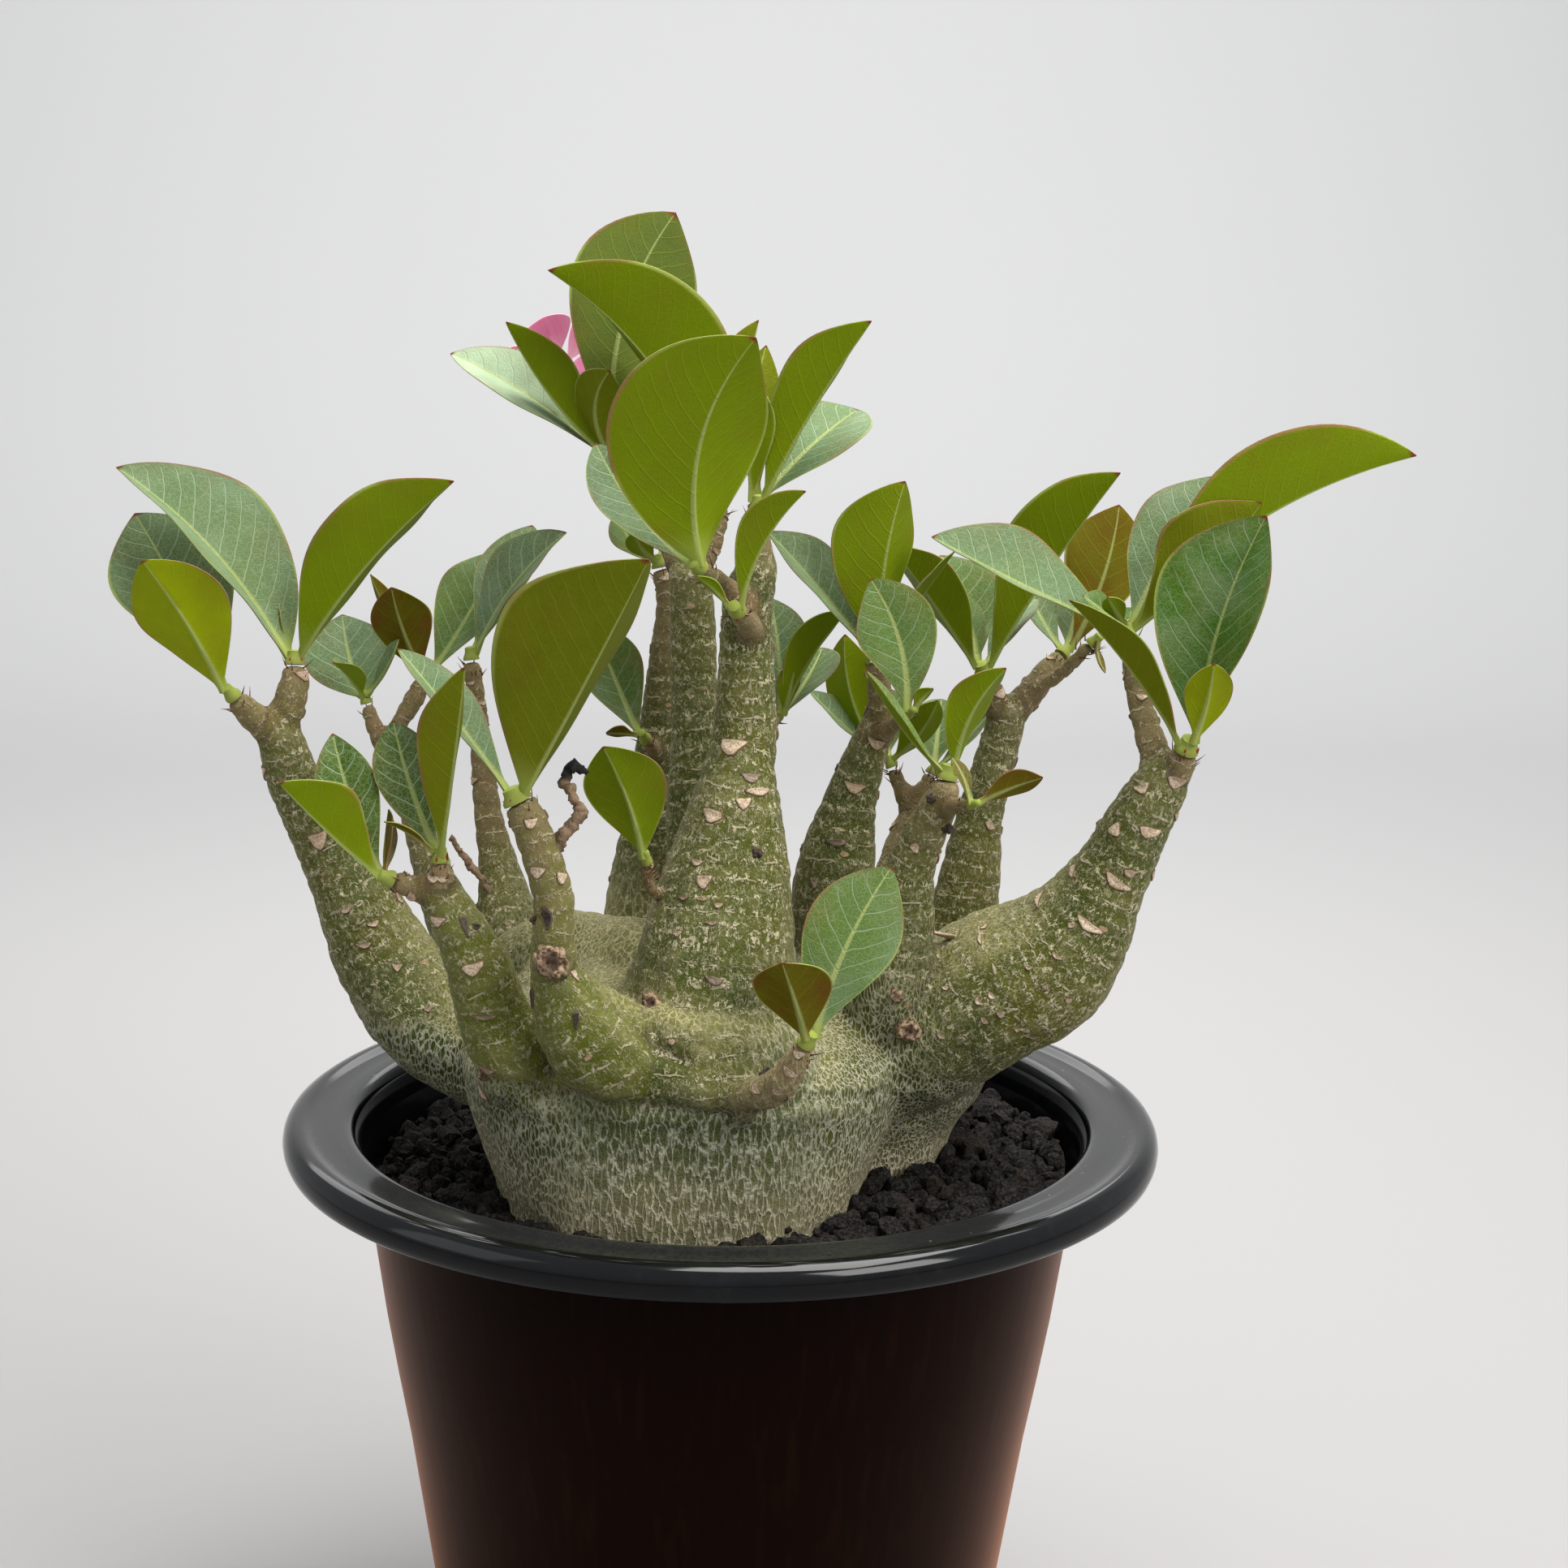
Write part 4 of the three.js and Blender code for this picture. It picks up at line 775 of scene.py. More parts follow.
fill(surface, {
    "Base Color": skin, "Roughness": mix(net, 0.5, 0.72), "Specular IOR Level": 0.07, "Sheen Weight": 0.16,
    "Sheen Roughness": 0.4, "Sheen Tint": (0.9, 0.76, 0.5, 1), "Normal": raise_bumps(relief, 0.0005),
})
caudex.data.materials.append(bark)
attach(caudex, "root")
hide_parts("caudex")

# ---------------------------------------------------------------- thin spurs and dead twigs
# Thin side shoots that grow from the stems, and a dead stub and a dried twig that broke off. They
# are round limbs too thin for the fused body, rooted inside it, and stepped by their old scars.

DEAD_TWIGS = {
    "dead_stub": [
        [-41, -71, 275, 2.2], [-36, -71, 281, 1.5], [-33, -70, 285, 1.6], [-34, -70, 289, 1.2],
        [-36.5, -69, 292, 1.3], [-36, -69, 294.6, 1.1], [-34.6, -69, 296.4, 1.3], [-33, -69, 296, 0.9],
        [-31.4, -69, 294.6, 0.5],
    ],
    "dead_twig_rear": [[-62, 32, 234, 1.5], [-68, 30, 244, 1], [-78, 27, 259, 0.7]],
}


def stepped_limb(name, path, depth):
    """A thin limb that widens and narrows in small steps along its length."""
    rng = random.Random(name)
    course = smooth_course(path, 0.5)
    along = along_course(course)[3]
    phase = rng.uniform(0, 1)
    saw = (along / 2.3 + phase) % 1
    course[:, 3] *= 1 + depth * (0.55 - saw) + 0.05 * np.sin(along * 2.9 + phase * 9)
    course[:, :3] += 0.12 * np.stack([np.sin(along * 1.7 + phase * 7), np.cos(along * 1.3), 0 * along], 1)
    return round_limb(name, course, 3)


spurs = [stepped_limb(name, path, 0.16) for name, path in LIMBS.items() if not is_fused(COURSES[name])]
spur_piece = join_pieces(spurs, "thin_spurs")
spur_points = read_points(spur_piece) / MM
keep_values(spur_piece, "grain", limb_place(spur_points)[2] * MM)
for label, value in {"ringed": 1, "young": 0.9, "crease": 0, "pale_patches_and_painted_light": 0, "greener": 0}.items():
    keep_values(spur_piece, label, np.full(len(spur_points), value))
bpy.ops.object.shade_smooth()
spur_piece.data.materials.append(bark)
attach(spur_piece, "root")

dead_limbs = [stepped_limb(name, path, 0.3) for name, path in DEAD_TWIGS.items()]
dead_piece = join_pieces(dead_limbs, "dead_twigs")
dead_points = read_points(dead_piece) / MM
for size, depth in ((2.2, 0.35), (0.8, 0.25)):
    dead_points += depth * np.stack([soft_waves(dead_points, size, seed) for seed in (21, 22, 23)], 1)
write_points(dead_piece, dead_points * MM)
bpy.ops.object.shade_smooth()
dead_wood, tree, surface = new_finish("dead_wood")
place = object_place(tree)
fibres = noise_value(stretch(place, (1, 1, 0.3)), 1400, 4)
heights = axes(place)["Z"]
dried = blend(fibres, (0.1, 0.055, 0.028, 1), (0.36, 0.25, 0.15, 1))
dried = blend(between(heights, 0.292, 0.2945), dried, (0.006, 0.005, 0.0045, 1))
fill(surface, {"Base Color": dried, "Roughness": 0.85, "Normal": raise_bumps(fibres, 0.0003)})
dead_piece.data.materials.append(dead_wood)
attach(dead_piece, "root")

# ---------------------------------------------------------------- leaf scars and knots
# Where old leaves fell, corky lens-shaped pads stay on the stems in a rising spiral, tan with a
# brown rim. A few healed cuts stand out as round scabby knots. Each pad is laid on the bark.

SCAR_SIDES = 14
# The camera, and the scars seen in the photo: [across, down, half width, half height] in pixels of its
# frame, 1932 pixels square, then the turn in degrees and how dark. The focal length is 2830 of them.
FRAME_SIDE = 1932
FOCAL_LENGTH = 2830
CAMERA_PLACE = (0.015, -0.600, 0.390)
CAMERA_TURN = (math.radians(90 - 10.34), 0, math.radians(1.08))
SEEN_SCARS = [
    [902, 917, 18, 12, -5, 0.0], [925, 957, 14, 7, 5, 0.6], [935, 974, 18, 6, 12, 0.2],
    [916, 988, 11, 8, 10, 0.1], [878, 1003, 15, 10, -22, 0.0], [867, 1084, 11, 10, 0, 0.2],
    [880, 1207, 12, 6, -15, 0.7], [859, 1062, 9, 5, -20, 0.3], [843, 1105, 7, 4, 0, 0.4],
    [885, 1115, 6, 4, 0, 0.3], [877, 1137, 8, 3, 0, 0.4], [835, 1150, 6, 4, 0, 0.2],
    [828, 1283, 5, 4, 0, 0.0], [1080, 915, 12, 8, -10, 0.1], [1053, 969, 15, 7, -12, 0.0],
    [1031, 1037, 13, 5, 0, 0.6], [1004, 1086, 6, 7, 0, 0.5], [654, 1013, 9, 7, 10, 0.0],
    [662, 1073, 10, 9, 0, 0.1], [692, 1080, 9, 8, 0, 0.1], [675, 1130, 6, 13, 0, 1.0],
    [690, 1174, 6, 9, 0, 0.8], [706, 1200, 6, 9, 20, 0.2], [656, 1226, 5, 18, -6, 1.0],
    [710, 1253, 4, 12, 0, 1.0], [539, 1133, 12, 7, 0, 0.0], [572, 1136, 5, 14, 15, 0.9],
    [582, 1192, 15, 9, 15, 0.0], [544, 1082, 10, 5, -5, 0.2], [587, 1141, 6, 4, 0, 1.0],
    [511, 1117, 7, 5, 0, 1.0], [478, 1086, 8, 7, 0, 0.2], [600, 1318, 12, 5, 0, 0.4],
    [597, 1253, 14, 3, 0, 0.5], [490, 1107, 10, 4, -30, 0.2], [427, 1120, 9, 4, 30, 0.1],
    [449, 1164, 11, 4, 5, 0.2], [392, 1033, 13, 12, 20, 0.0], [489, 1191, 7, 5, 0, 0.2],
    [527, 1243, 6, 4, 20, 0.5], [460, 1138, 8, 4, 20, 0.1], [1417, 1024, 16, 8, -15, 0.0],
    [1407, 970, 12, 7, 5, 0.1], [1373, 1021, 10, 9, 30, 0.0], [1450, 962, 13, 9, -10, 0.3],
    [1449, 1004, 5, 8, 0, 0.3], [1377, 1087, 21, 7, -38, 0.0], [1392, 1075, 8, 6, -10, 0.1],
    [1420, 1077, 5, 12, 0, 0.1], [1342, 1140, 20, 7, -36, 0.0], [1280, 1107, 15, 4, -76, 0.1],
    [1322, 1073, 10, 5, -70, 0.1], [1320, 1140, 5, 4, -30, 0.2], [1208, 1157, 10, 3, -78, 0.1],
    [1213, 1143, 6, 3, 60, 0.1], [1206, 1234, 7, 4, -50, 0.1], [1222, 1227, 6, 4, -50, 0.1],
    [1213, 1257, 6, 4, -40, 0.1], [1233, 1249, 6, 5, 0, 0.3], [1267, 1192, 6, 3, -20, 0.2],
    [1288, 1215, 5, 4, 20, 0.3], [1316, 1232, 5, 4, 0, 0.3], [1165, 1217, 5, 3, 0, 0.0],
    [1159, 1276, 7, 3, -40, 0.1], [1253, 1268, 5, 3, 0, 0.2], [1302, 1178, 8, 3, -38, 0.2],
    [1104, 1224, 8, 5, -60, 0.1], [1127, 1043, 6, 8, 20, 0.0], [1220, 1017, 8, 5, -30, 0.2],
    [1171, 1021, 10, 5, -10, 1.0], [1180, 985, 9, 6, 0, 0.7], [945, 1320, 6, 10, 20, 1.0],
    [930, 1342, 6, 9, 60, 0.1], [958, 1345, 8, 5, -20, 0.2], [974, 1322, 9, 5, -25, 0.1],
    [984, 1298, 8, 5, -20, 0.1],
]
# Healed cuts and small black scabs near the bark, as [x, y, z, radius] in mm.
KNOTS = [
    [-38.5, -77, 251, 4.4], [-15, -59, 235, 2.7], [47, -40.5, 225, 3.2], [44, -39, 234.5, 1.8],
    [-57, -59, 218, 1.8],
]
SCABS = [
    [10.7, -50, 274, 1.5], [56, -44, 278, 1.7], [53.5, -43, 285, 1.4], [-45, -75, 261, 1.2],
    [-40, -76, 263, 1.4], [15, -75, 222, 1.7], [11, -74, 224, 1.1], [2, -33, 341, 1.1],
    [-79, -62, 264, 1.2],
]


def laid_pad(foot, outward, up, half_width, half_height, height, dish, rng):
    """One pad on the bark: points in mm, faces and how near each is to the rim, or None off the bark."""
    side = np.cross(up, outward)
    rings = [(0.0, dish), (0.45, dish + 0.1), (0.82, 1.0), (1.0, 0.3), (1.12, -0.9)]
    points, edge = [], []
    bulge = rng.uniform(0.2, 0.5)
    for share, lift in rings:
        for k in range(1 if share == 0 else SCAR_SIDES):
            turn = 2 * math.pi * k / SCAR_SIDES
            x, y = math.cos(turn) * share, math.sin(turn) * share
            y = y * (0.55 if y > 0 else 1.45 * (1 - 0.45 * abs(x))) + bulge * x * x
            uneven = 1 + 0.1 * math.sin(3 * turn + foot[2]) + 0.06 * math.sin(5 * turn + foot[0])
            start = foot + (side * x * half_width + up * y * half_height) * uneven + outward * 7
            hit, normal, _, _ = caudex_surface.ray_cast(Vector(start), Vector(-outward), 14)
            if hit is None:
                return None
            points.append(np.array(hit) + np.array(normal) * lift * height)
            edge.append(share / 1.12)
    points.append(foot - outward * 1.6)
    edge.append(1.0)
    return np.array(points), pad_faces(len(rings) - 1), np.array(edge)


def pad_faces(rings):
    faces = [(0, 1 + k, 1 + (k + 1) % SCAR_SIDES) for k in range(SCAR_SIDES)]
    for ring in range(rings - 1):
        for k in range(SCAR_SIDES):
            a = 1 + ring * SCAR_SIDES + k
            b = 1 + ring * SCAR_SIDES + (k + 1) % SCAR_SIDES
            faces.append((a, a + SCAR_SIDES, b + SCAR_SIDES, b))
    last = 1 + (rings - 1) * SCAR_SIDES
    bottom = last + SCAR_SIDES
    faces += [(last + k, bottom, last + (k + 1) % SCAR_SIDES) for k in range(SCAR_SIDES)]
    return faces


pads = []
rng = random.Random(11)
eye = Vector(CAMERA_PLACE) / MM
camera_ways = Euler(CAMERA_TURN, "ZYX").to_matrix()
for across_px, down_px, half_width, half_height, turn, dark in SEEN_SCARS:
    aim = Vector((across_px - FRAME_SIDE / 2, FRAME_SIDE / 2 - down_px, -FOCAL_LENGTH)) / FOCAL_LENGTH
    hit = caudex_surface.ray_cast(eye, camera_ways @ aim)[0]
    if hit is None:
        continue
    near_normals = [np.array(near[1]) for near in caudex_surface.find_nearest_range(hit, 3.0)]
    outward = unit(np.sum(near_normals, axis=0))
    scale = (hit - eye).length / aim.length / FOCAL_LENGTH
    lean = math.radians(turn)
    side = np.array(camera_ways @ Vector((math.cos(lean), math.sin(lean), 0)))
    side -= outward * np.dot(side, outward)
    up = np.cross(outward, unit(side))
    pad = laid_pad(np.array(hit), outward, up, half_width * scale, half_height * scale, 0.45, 0.4, rng)
    if pad is not None:
        pads.append((*pad, np.full(len(pad[0]), dark)))
for name, course in COURSES.items():
    if course[:, 3].max() < 3.2 or name in ("flower_stalk", "left_saddle"):
        continue
    tangents, first, second, along = along_course(course)
    at, turn = 3.0 + 3 * rng.random(), rng.uniform(0, 6.28)
    while at < along[-1] - 1.5:
        i = int(np.searchsorted(along, at))
        radius = course[i, 3]
        turn += 2.4 + rng.uniform(-0.3, 0.3)
        outward = first[i] * math.cos(turn) + second[i] * math.sin(turn)
        foot = course[i, :3] + outward * radius
        off = limb_place(foot[None, :] + outward * 0.6)[0][0]
        is_seen = radius > 3.6 and np.dot(outward, np.array(eye) - foot) > 0
        if off > 0.2 and radius < 12.8 and not is_seen:
            half = min(3.7, 0.42 * radius + 0.9) * rng.uniform(0.6, 1.15)
            tilt = rng.uniform(-0.28, 0.28)
            up = tangents[i] * math.cos(tilt) + np.cross(outward, tangents[i]) * math.sin(tilt)
            pad = laid_pad(foot, outward, up, half, half * rng.uniform(0.45, 0.7), 0.42, 0.5, rng)
            if pad is not None and np.linalg.norm(pad[0] - foot, axis=1).max() < half * 1.9 + 2:
                pads.append((*pad, np.zeros(len(pad[0]))))
        at += (2.2 + 0.3 * radius) * rng.uniform(0.7, 1.3)
scars = gathered_mesh("leaf_scars", pads)
keep_values(scars, "edge", np.concatenate([pad[2] for pad in pads]))
keep_values(scars, "dark", np.concatenate([pad[3] for pad in pads]))
bpy.ops.object.shade_smooth()

scar_cork, tree, surface = new_finish("scar_cork")
place = object_place(tree)
edge = kept_value(tree, "edge")
cracks = noise_value(place, 1500, 4, 0.65)
patches = noise_value(place, 130, 2)
pale = blend(between(cracks, 0.35, 0.6), (0.42, 0.3, 0.19, 1), (0.78, 0.62, 0.45, 1))
pale = blend(between(patches, 0.45, 0.65, 0.0, 0.5), pale, (0.42, 0.27, 0.17, 1))
rim = blend(cracks, (0.07, 0.032, 0.015, 1), (0.24, 0.13, 0.07, 1))
ragged = plus(edge, times(minus(cracks, 0.5), 0.25))
tone = blend(between(ragged, 0.7, 0.84), pale, rim)
tone = blend(between(ragged, 0.88, 0.96), tone, (0.13, 0.12, 0.04, 1))
darkness = times(kept_value(tree, "dark"), between(ragged, 0.95, 0.6, 0.5, 1.0))
tone = blend(darkness, tone, (0.035, 0.025, 0.02, 1))
fill(surface, {"Base Color": tone, "Roughness": 0.8, "Normal": raise_bumps(cracks, 0.0004)})
scars.data.materials.append(scar_cork)
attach(scars, "root")

knot_pieces = []
centres = np.array([[*caudex_surface.find_nearest(Vector(row[:3]))[0], row[3]] for row in KNOTS + SCABS])
for x, y, z, radius in centres:
    place = Vector((x, y, z)) * MM
    deselect_all()
    bpy.ops.mesh.primitive_ico_sphere_add(subdivisions=4, radius=radius * MM, location=place)
    bpy.ops.object.transform_apply(location=True)
    knot_pieces.append(bpy.context.object)
knots = join_pieces(knot_pieces, "healed_knots")
knot_points = read_points(knots) / MM
owner = ((knot_points[:, None, :] - centres[None, :, :3]) ** 2).sum(2).argmin(1)
ways = (knot_points - centres[owner, :3]) / centres[owner, 3:]
front = np.clip(-ways[:, 1] + 0.25 * ways[:, 2], 0, 1)
is_scab = (owner >= len(KNOTS)).astype(float)
swell = 0.1 * soft_waves(knot_points, 2.2, 40) + (0.12 + 0.09 * is_scab) * soft_waves(knot_points, 0.9, 60)
hollow = 0.26 * np.exp(-((1 - front) / 0.07) ** 2) - 0.05 * np.exp(-((front - 0.78) / 0.1) ** 2)
swell -= (1 - is_scab) * hollow
shrink = 1 - 0.12 * is_scab
write_points(knots, (centres[owner, :3] + ways * (centres[owner, 3] * shrink * (1 + swell))[:, None]) * MM)
keep_values(knots, "front", front)
keep_values(knots, "scab", is_scab)
bpy.ops.object.shade_smooth()
scab, tree, surface = new_finish("knot_scab")
place = object_place(tree)
crumbs = noise_value(place, 800, 5, 0.65)
front_share = plus(kept_value(tree, "front"), times(minus(crumbs, 0.5), 0.3))
tone = blend(between(crumbs, 0.4, 0.62), (0.06, 0.028, 0.012, 1), (0.47, 0.32, 0.2, 1))
tone = layered(tone, [
    (between(front_share, 0.84, 1.0, 0.0, 0.8), (0.05, 0.024, 0.012, 1)),
    (between(front_share, 0.6, 0.35), (0.12, 0.105, 0.035, 1)),
])
black_crust = blend(crumbs, (0.004, 0.0035, 0.003, 1), (0.08, 0.045, 0.028, 1))
tone = blend(kept_value(tree, "scab"), tone, black_crust)
fill(surface, {"Base Color": tone, "Roughness": 0.8, "Normal": raise_bumps(crumbs, 0.0005)})
knots.data.materials.append(scab)
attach(knots, "root")

# ---------------------------------------------------------------- leaves
# Each growing tip bears a few leathery leaves, folded along a pale raised midrib, on a short green
# shoot. Each blade is a thin closed sheet swept from its own length, width, roll, bow and fold.

# Leaves by tip: [azimuth, rise, length, width, roll, bow, sweep, fold, belly %, look], in degrees and
# millimetres. The look names the blade's colours in BLADE_LOOKS.
LEAVES = {
    "left_arm_twig_right": [
        [-177, 49, 65, 38, -30, 4, 2, 34, 52, "glaucous"], [-21, 46, 66, 31, -30, 2, 2, 43, 54, "deep"],
        [142, 75, 16, 5, 40, -1, 0, 20, 61, "bronze"],
    ],
    "left_arm_twig_left": [
        [144, 52, 56, 33, -30, -4, 2, 10, 68, "glaucous"], [-136, 58, 41, 25, 45, 1, -1, 12, 61, "lime"],
    ],
    "front_left_twig_left": [
        [-148, 46, 35, 22, 30, 1, 2, 37, 61, "deep"], [138, 61, 37, 15, -35, 0, -1, 14, 61, "netted"],
        [92, 57, 17, 9, 90, 0, 0, 25, 61, "bronze"],
    ],
    "front_left_twig_right": [
        [-67, 66, 53, 18, 25, 1, -1, 43, 61, "dull"], [132, 58, 35, 16, -30, 1, -1, 14, 61, "netted"],
        [-165, 34, 14, 5, 15, 1, 0, 15, 61, "bronze"],
    ],
    "front_mid": [
        [-34, 58, 68, 48, -20, 1, -1, 43, 55, "dull"], [137, 36, 51, 15, 0, 0, 1, 30, 61, "glaucous"],
    ],
    "rear_far_left_twig_left": [
        [127, 61, 26, 26, -30, 0, -1, 10, 52, "glaucous"],
        [-115, 40, 18, 11, -15, 1, 0, 30, 61, "bright"],
        [-32, 55, 21, 8, 55, -1, 0, 20, 61, "glaucous"],
    ],
    "rear_far_left_twig_right": [
        [-132, 67, 28, 18, 40, 0, 1, 12, 61, "bronze"], [48, 52, 43, 24, 20, 0, 1, 22, 61, "bright"],
        [145, 51, 34, 8, 85, -1, 0, 20, 61, "bronze"],
    ],
    "rear_left_thin": [
        [4, 54, 43, 24, 30, 3, -1, 24, 61, "glaucous"], [64, 48, 46, 20, 5, 1, 1, 24, 61, "glaucous"],
    ],
    "mid_left_twig_left": [
        [37, 74, 68, 35, -120, -1, 7, 12, 69, "hazy"], [-153, 51, 45, 20, 25, -1, 2, 42, 61, "deep"],
        [168, 31, 51, 21, -35, 2, 1, 24, 61, "mint"], [-85, 53, 28, 15, -20, 0, 4, 22, 61, "dull"],
        [83, 51, 34, 20, 5, 1, 1, 20, 61, "deep"],
    ],
    "mid_left_twig_up": [
        [-148, 49, 76, 42, 25, 8, -2, 43, 54, "deep"], [23, 80, 47, 20, -55, 1, 1, 30, 61, "dull"],
        [104, 44, 33, 18, -10, 0, 0, 20, 61, "deep"],
    ],
    "centre_twig": [
        [-45, 72, 57, 45, -20, 4, 6, 24, 54, "deep"], [145, 43, 41, 18, -35, -1, -2, 16, 61, "glaucous"],
    ],
    "centre": [
        [-25, 58, 53, 23, -25, 2, 0, 43, 61, "deep"], [-168, 82, 34, 17, 20, 1, 0, 30, 61, "deep"],
        [84, 72, 40, 13, 175, -1, 2, 14, 61, "dull"], [42, 34, 39, 27, 20, 3, 1, 18, 61, "glaucous"],
    ],
    "centre_bud": [
        [-22, 61, 33, 15, -25, 3, 1, 43, 61, "deep"], [-172, 44, 11, 5, 35, 1, 0, 10, 61, "bright"],
    ],
    "rear_left_tall": [
        [161, 48, 17, 15, -30, -1, -1, 16, 61, "bright"], [-122, 40, 13, 8, 30, 0, 1, 12, 61, "deep"],
        [85, 40, 36, 24, 5, -1, 2, 20, 61, "deep"],
    ],
    "rear_left_bud": [
        [157, 64, 34, 18, -50, -1, 0, 14, 61, "dull"], [-166, 7, 9, 6, 40, 1, 1, 10, 61, "bronze"],
    ],
    "centre_side_bud": [[-144, 68, 31, 21, 45, 1, -1, 10, 61, "deep"]],
    "centre_rear_bud": [
        [13, 59, 32, 17, -45, 1, 2, 26, 61, "deep"], [103, 64, 33, 17, -5, 1, 1, 14, 61, "glaucous"],
        [-7, 79, 15, 8, -45, -1, 1, 16, 61, "deep"], [69, 26, 33, 18, 0, 0, 1, 20, 61, "deep"],
    ],
    "right_centre": [
        [-20, 83, 45, 29, -40, 1, 2, 31, 61, "deep"], [163, 47, 41, 20, -25, 1, 0, 30, 61, "glaucous"],
        [12, 53, 32, 11, -15, 0, 0, 20, 61, "deep"], [105, 39, 34, 22, 0, -1, 1, 20, 61, "deep"],
    ],
    "right_centre_bud": [
        [170, 73, 35, 21, -70, 0, 3, 8, 61, "bright"], [-27, 53, 8, 5, -30, 1, 0, 20, 61, "bright"],
    ],
    "front_right": [
        [-29, 65, 30, 14, -30, 2, 2, 24, 61, "deep"], [-168, 52, 32, 9, -15, -1, 0, 25, 61, "bright"],
    ],
    "front_right_bud": [
        [165, 66, 12, 5, -25, 1, 0, 14, 61, "bronze"], [-15, 26, 17, 9, -50, 1, 0, 14, 61, "bronze"],
    ],
    "rear_right_twig_left": [
        [-30, 57, 65, 31, -25, 2, 0, 43, 61, "deep"], [-163, 53, 42, 21, 25, 1, 0, 26, 61, "deep"],
        [41, 42, 26, 12, 5, 2, 0, 16, 61, "glaucous"], [120, 56, 22, 9, -20, 2, 1, 16, 61, "bright"],
        [108, 42, 40, 22, 0, 2, 1, 20, 61, "deep"],
    ],
    "rear_right_twig_right": [
        [28, 70, 43, 26, -100, -1, -2, 10, 66, "bronze"],
        [138, 54, 26, 13, -15, 0, -1, 20, 61, "glaucous"],
        [73, 34, 37, 22, 5, 1, 0, 20, 61, "deep"],
    ],
    "rear_right_twig_far": [
        [-59, -65, 9, 4, -25, -1, 0, 15, 61, "bronze"], [30, 24, 18, 14, 0, 0, -1, 18, 61, "deep"],
    ],
    "right_arm_twig_left": [
        [174, 25, 54, 28, -30, 0, -1, 32, 61, "glaucous"], [-11, 48, 45, 31, -40, -2, -1, 41, 61, "dull"],
        [-8, 34, 81, 35, -40, 5, 5, 43, 61, "deep"], [35, 55, 46, 24, 15, 2, 0, 18, 61, "glaucous"],
        [-156, 34, 14, 9, -50, 0, 0, 20, 61, "bright"], [-122, 36, 13, 6, 20, 0, 0, 14, 61, "bright"],
    ],
    "right_arm_twig_right": [
        [-167, 50, 47, 19, 5, 2, 0, 24, 61, "dull"], [12, 75, 58, 36, 40, 1, -3, 35, 61, "vivid"],
        [-75, 66, 23, 12, -15, 1, -1, 12, 61, "lime"],
    ],
    "front_twig": [
        [26, 64, 44, 23, 55, 1, -2, 10, 61, "bright"], [-117, 59, 25, 19, 20, 1, 0, 12, 61, "bronze"],
    ],
    "rear_centre_right_twig_left": [
        [171, 41, 30, 14, -20, 0, -1, 26, 61, "glaucous"], [172, 71, 38, 18, 70, -2, 3, 16, 61, "deep"],
        [-20, 55, 22, 14, -40, -1, -1, 18, 61, "deep"], [95, 35, 29, 18, -5, 0, 0, 20, 61, "deep"],
    ],
    "rear_centre_right_twig_right": [
        [4, 49, 25, 10, 20, 0, 1, 18, 61, "deep"], [82, 38, 27, 16, 5, 1, 0, 18, 61, "deep"],
    ],
}
# Colours of a blade by its look: the upper face, the underside, and how pale its upper net of veins is. The
# underside colours are partly the blade's own green and partly painted light, brightened for light shining
# through the leaf.
BLADE_LOOKS = {
    "mint": [(0.5, 0.64, 0.42), (0.16, 0.23, 0.03), 0.5],
    "glaucous": [(0.125, 0.2, 0.088), (0.14, 0.22, 0.01), 0.5],
    "deep": [(0.055, 0.11, 0.015), (0.165, 0.235, 0.001), 0.35],
    "netted": [(0.04, 0.095, 0.004), (0.12, 0.17, 0.005), 0.6],
    "bright": [(0.1, 0.18, 0.035), (0.18, 0.27, 0.002), 0.4],
    "dull": [(0.07, 0.12, 0.02), (0.14, 0.165, 0.002), 0.3],
    "bronze": [(0.12, 0.095, 0.012), (0.115, 0.08, 0.003), 0.25],
    "lime": [(0.12, 0.2, 0.03), (0.26, 0.32, 0.001), 0.3],
    "hazy": [(0.085, 0.13, 0.035), (0.085, 0.12, 0.022), 0.3],
    "vivid": [(0.04, 0.115, 0.003), (0.11, 0.19, 0.003), 0.35],
}
SHOOT_LENGTH = 4.5
BLADE_ACROSS = [-1, -0.93, -0.8, -0.62, -0.42, -0.24, -0.11, 0, 0.11, 0.24, 0.42, 0.62, 0.8, 0.93, 1]
BLADE_STEPS = 30


def heading(azimuth, rise):
    a, e = math.radians(azimuth), math.radians(rise)
    return np.array([math.cos(e) * math.cos(a), math.cos(e) * math.sin(a), math.sin(e)])


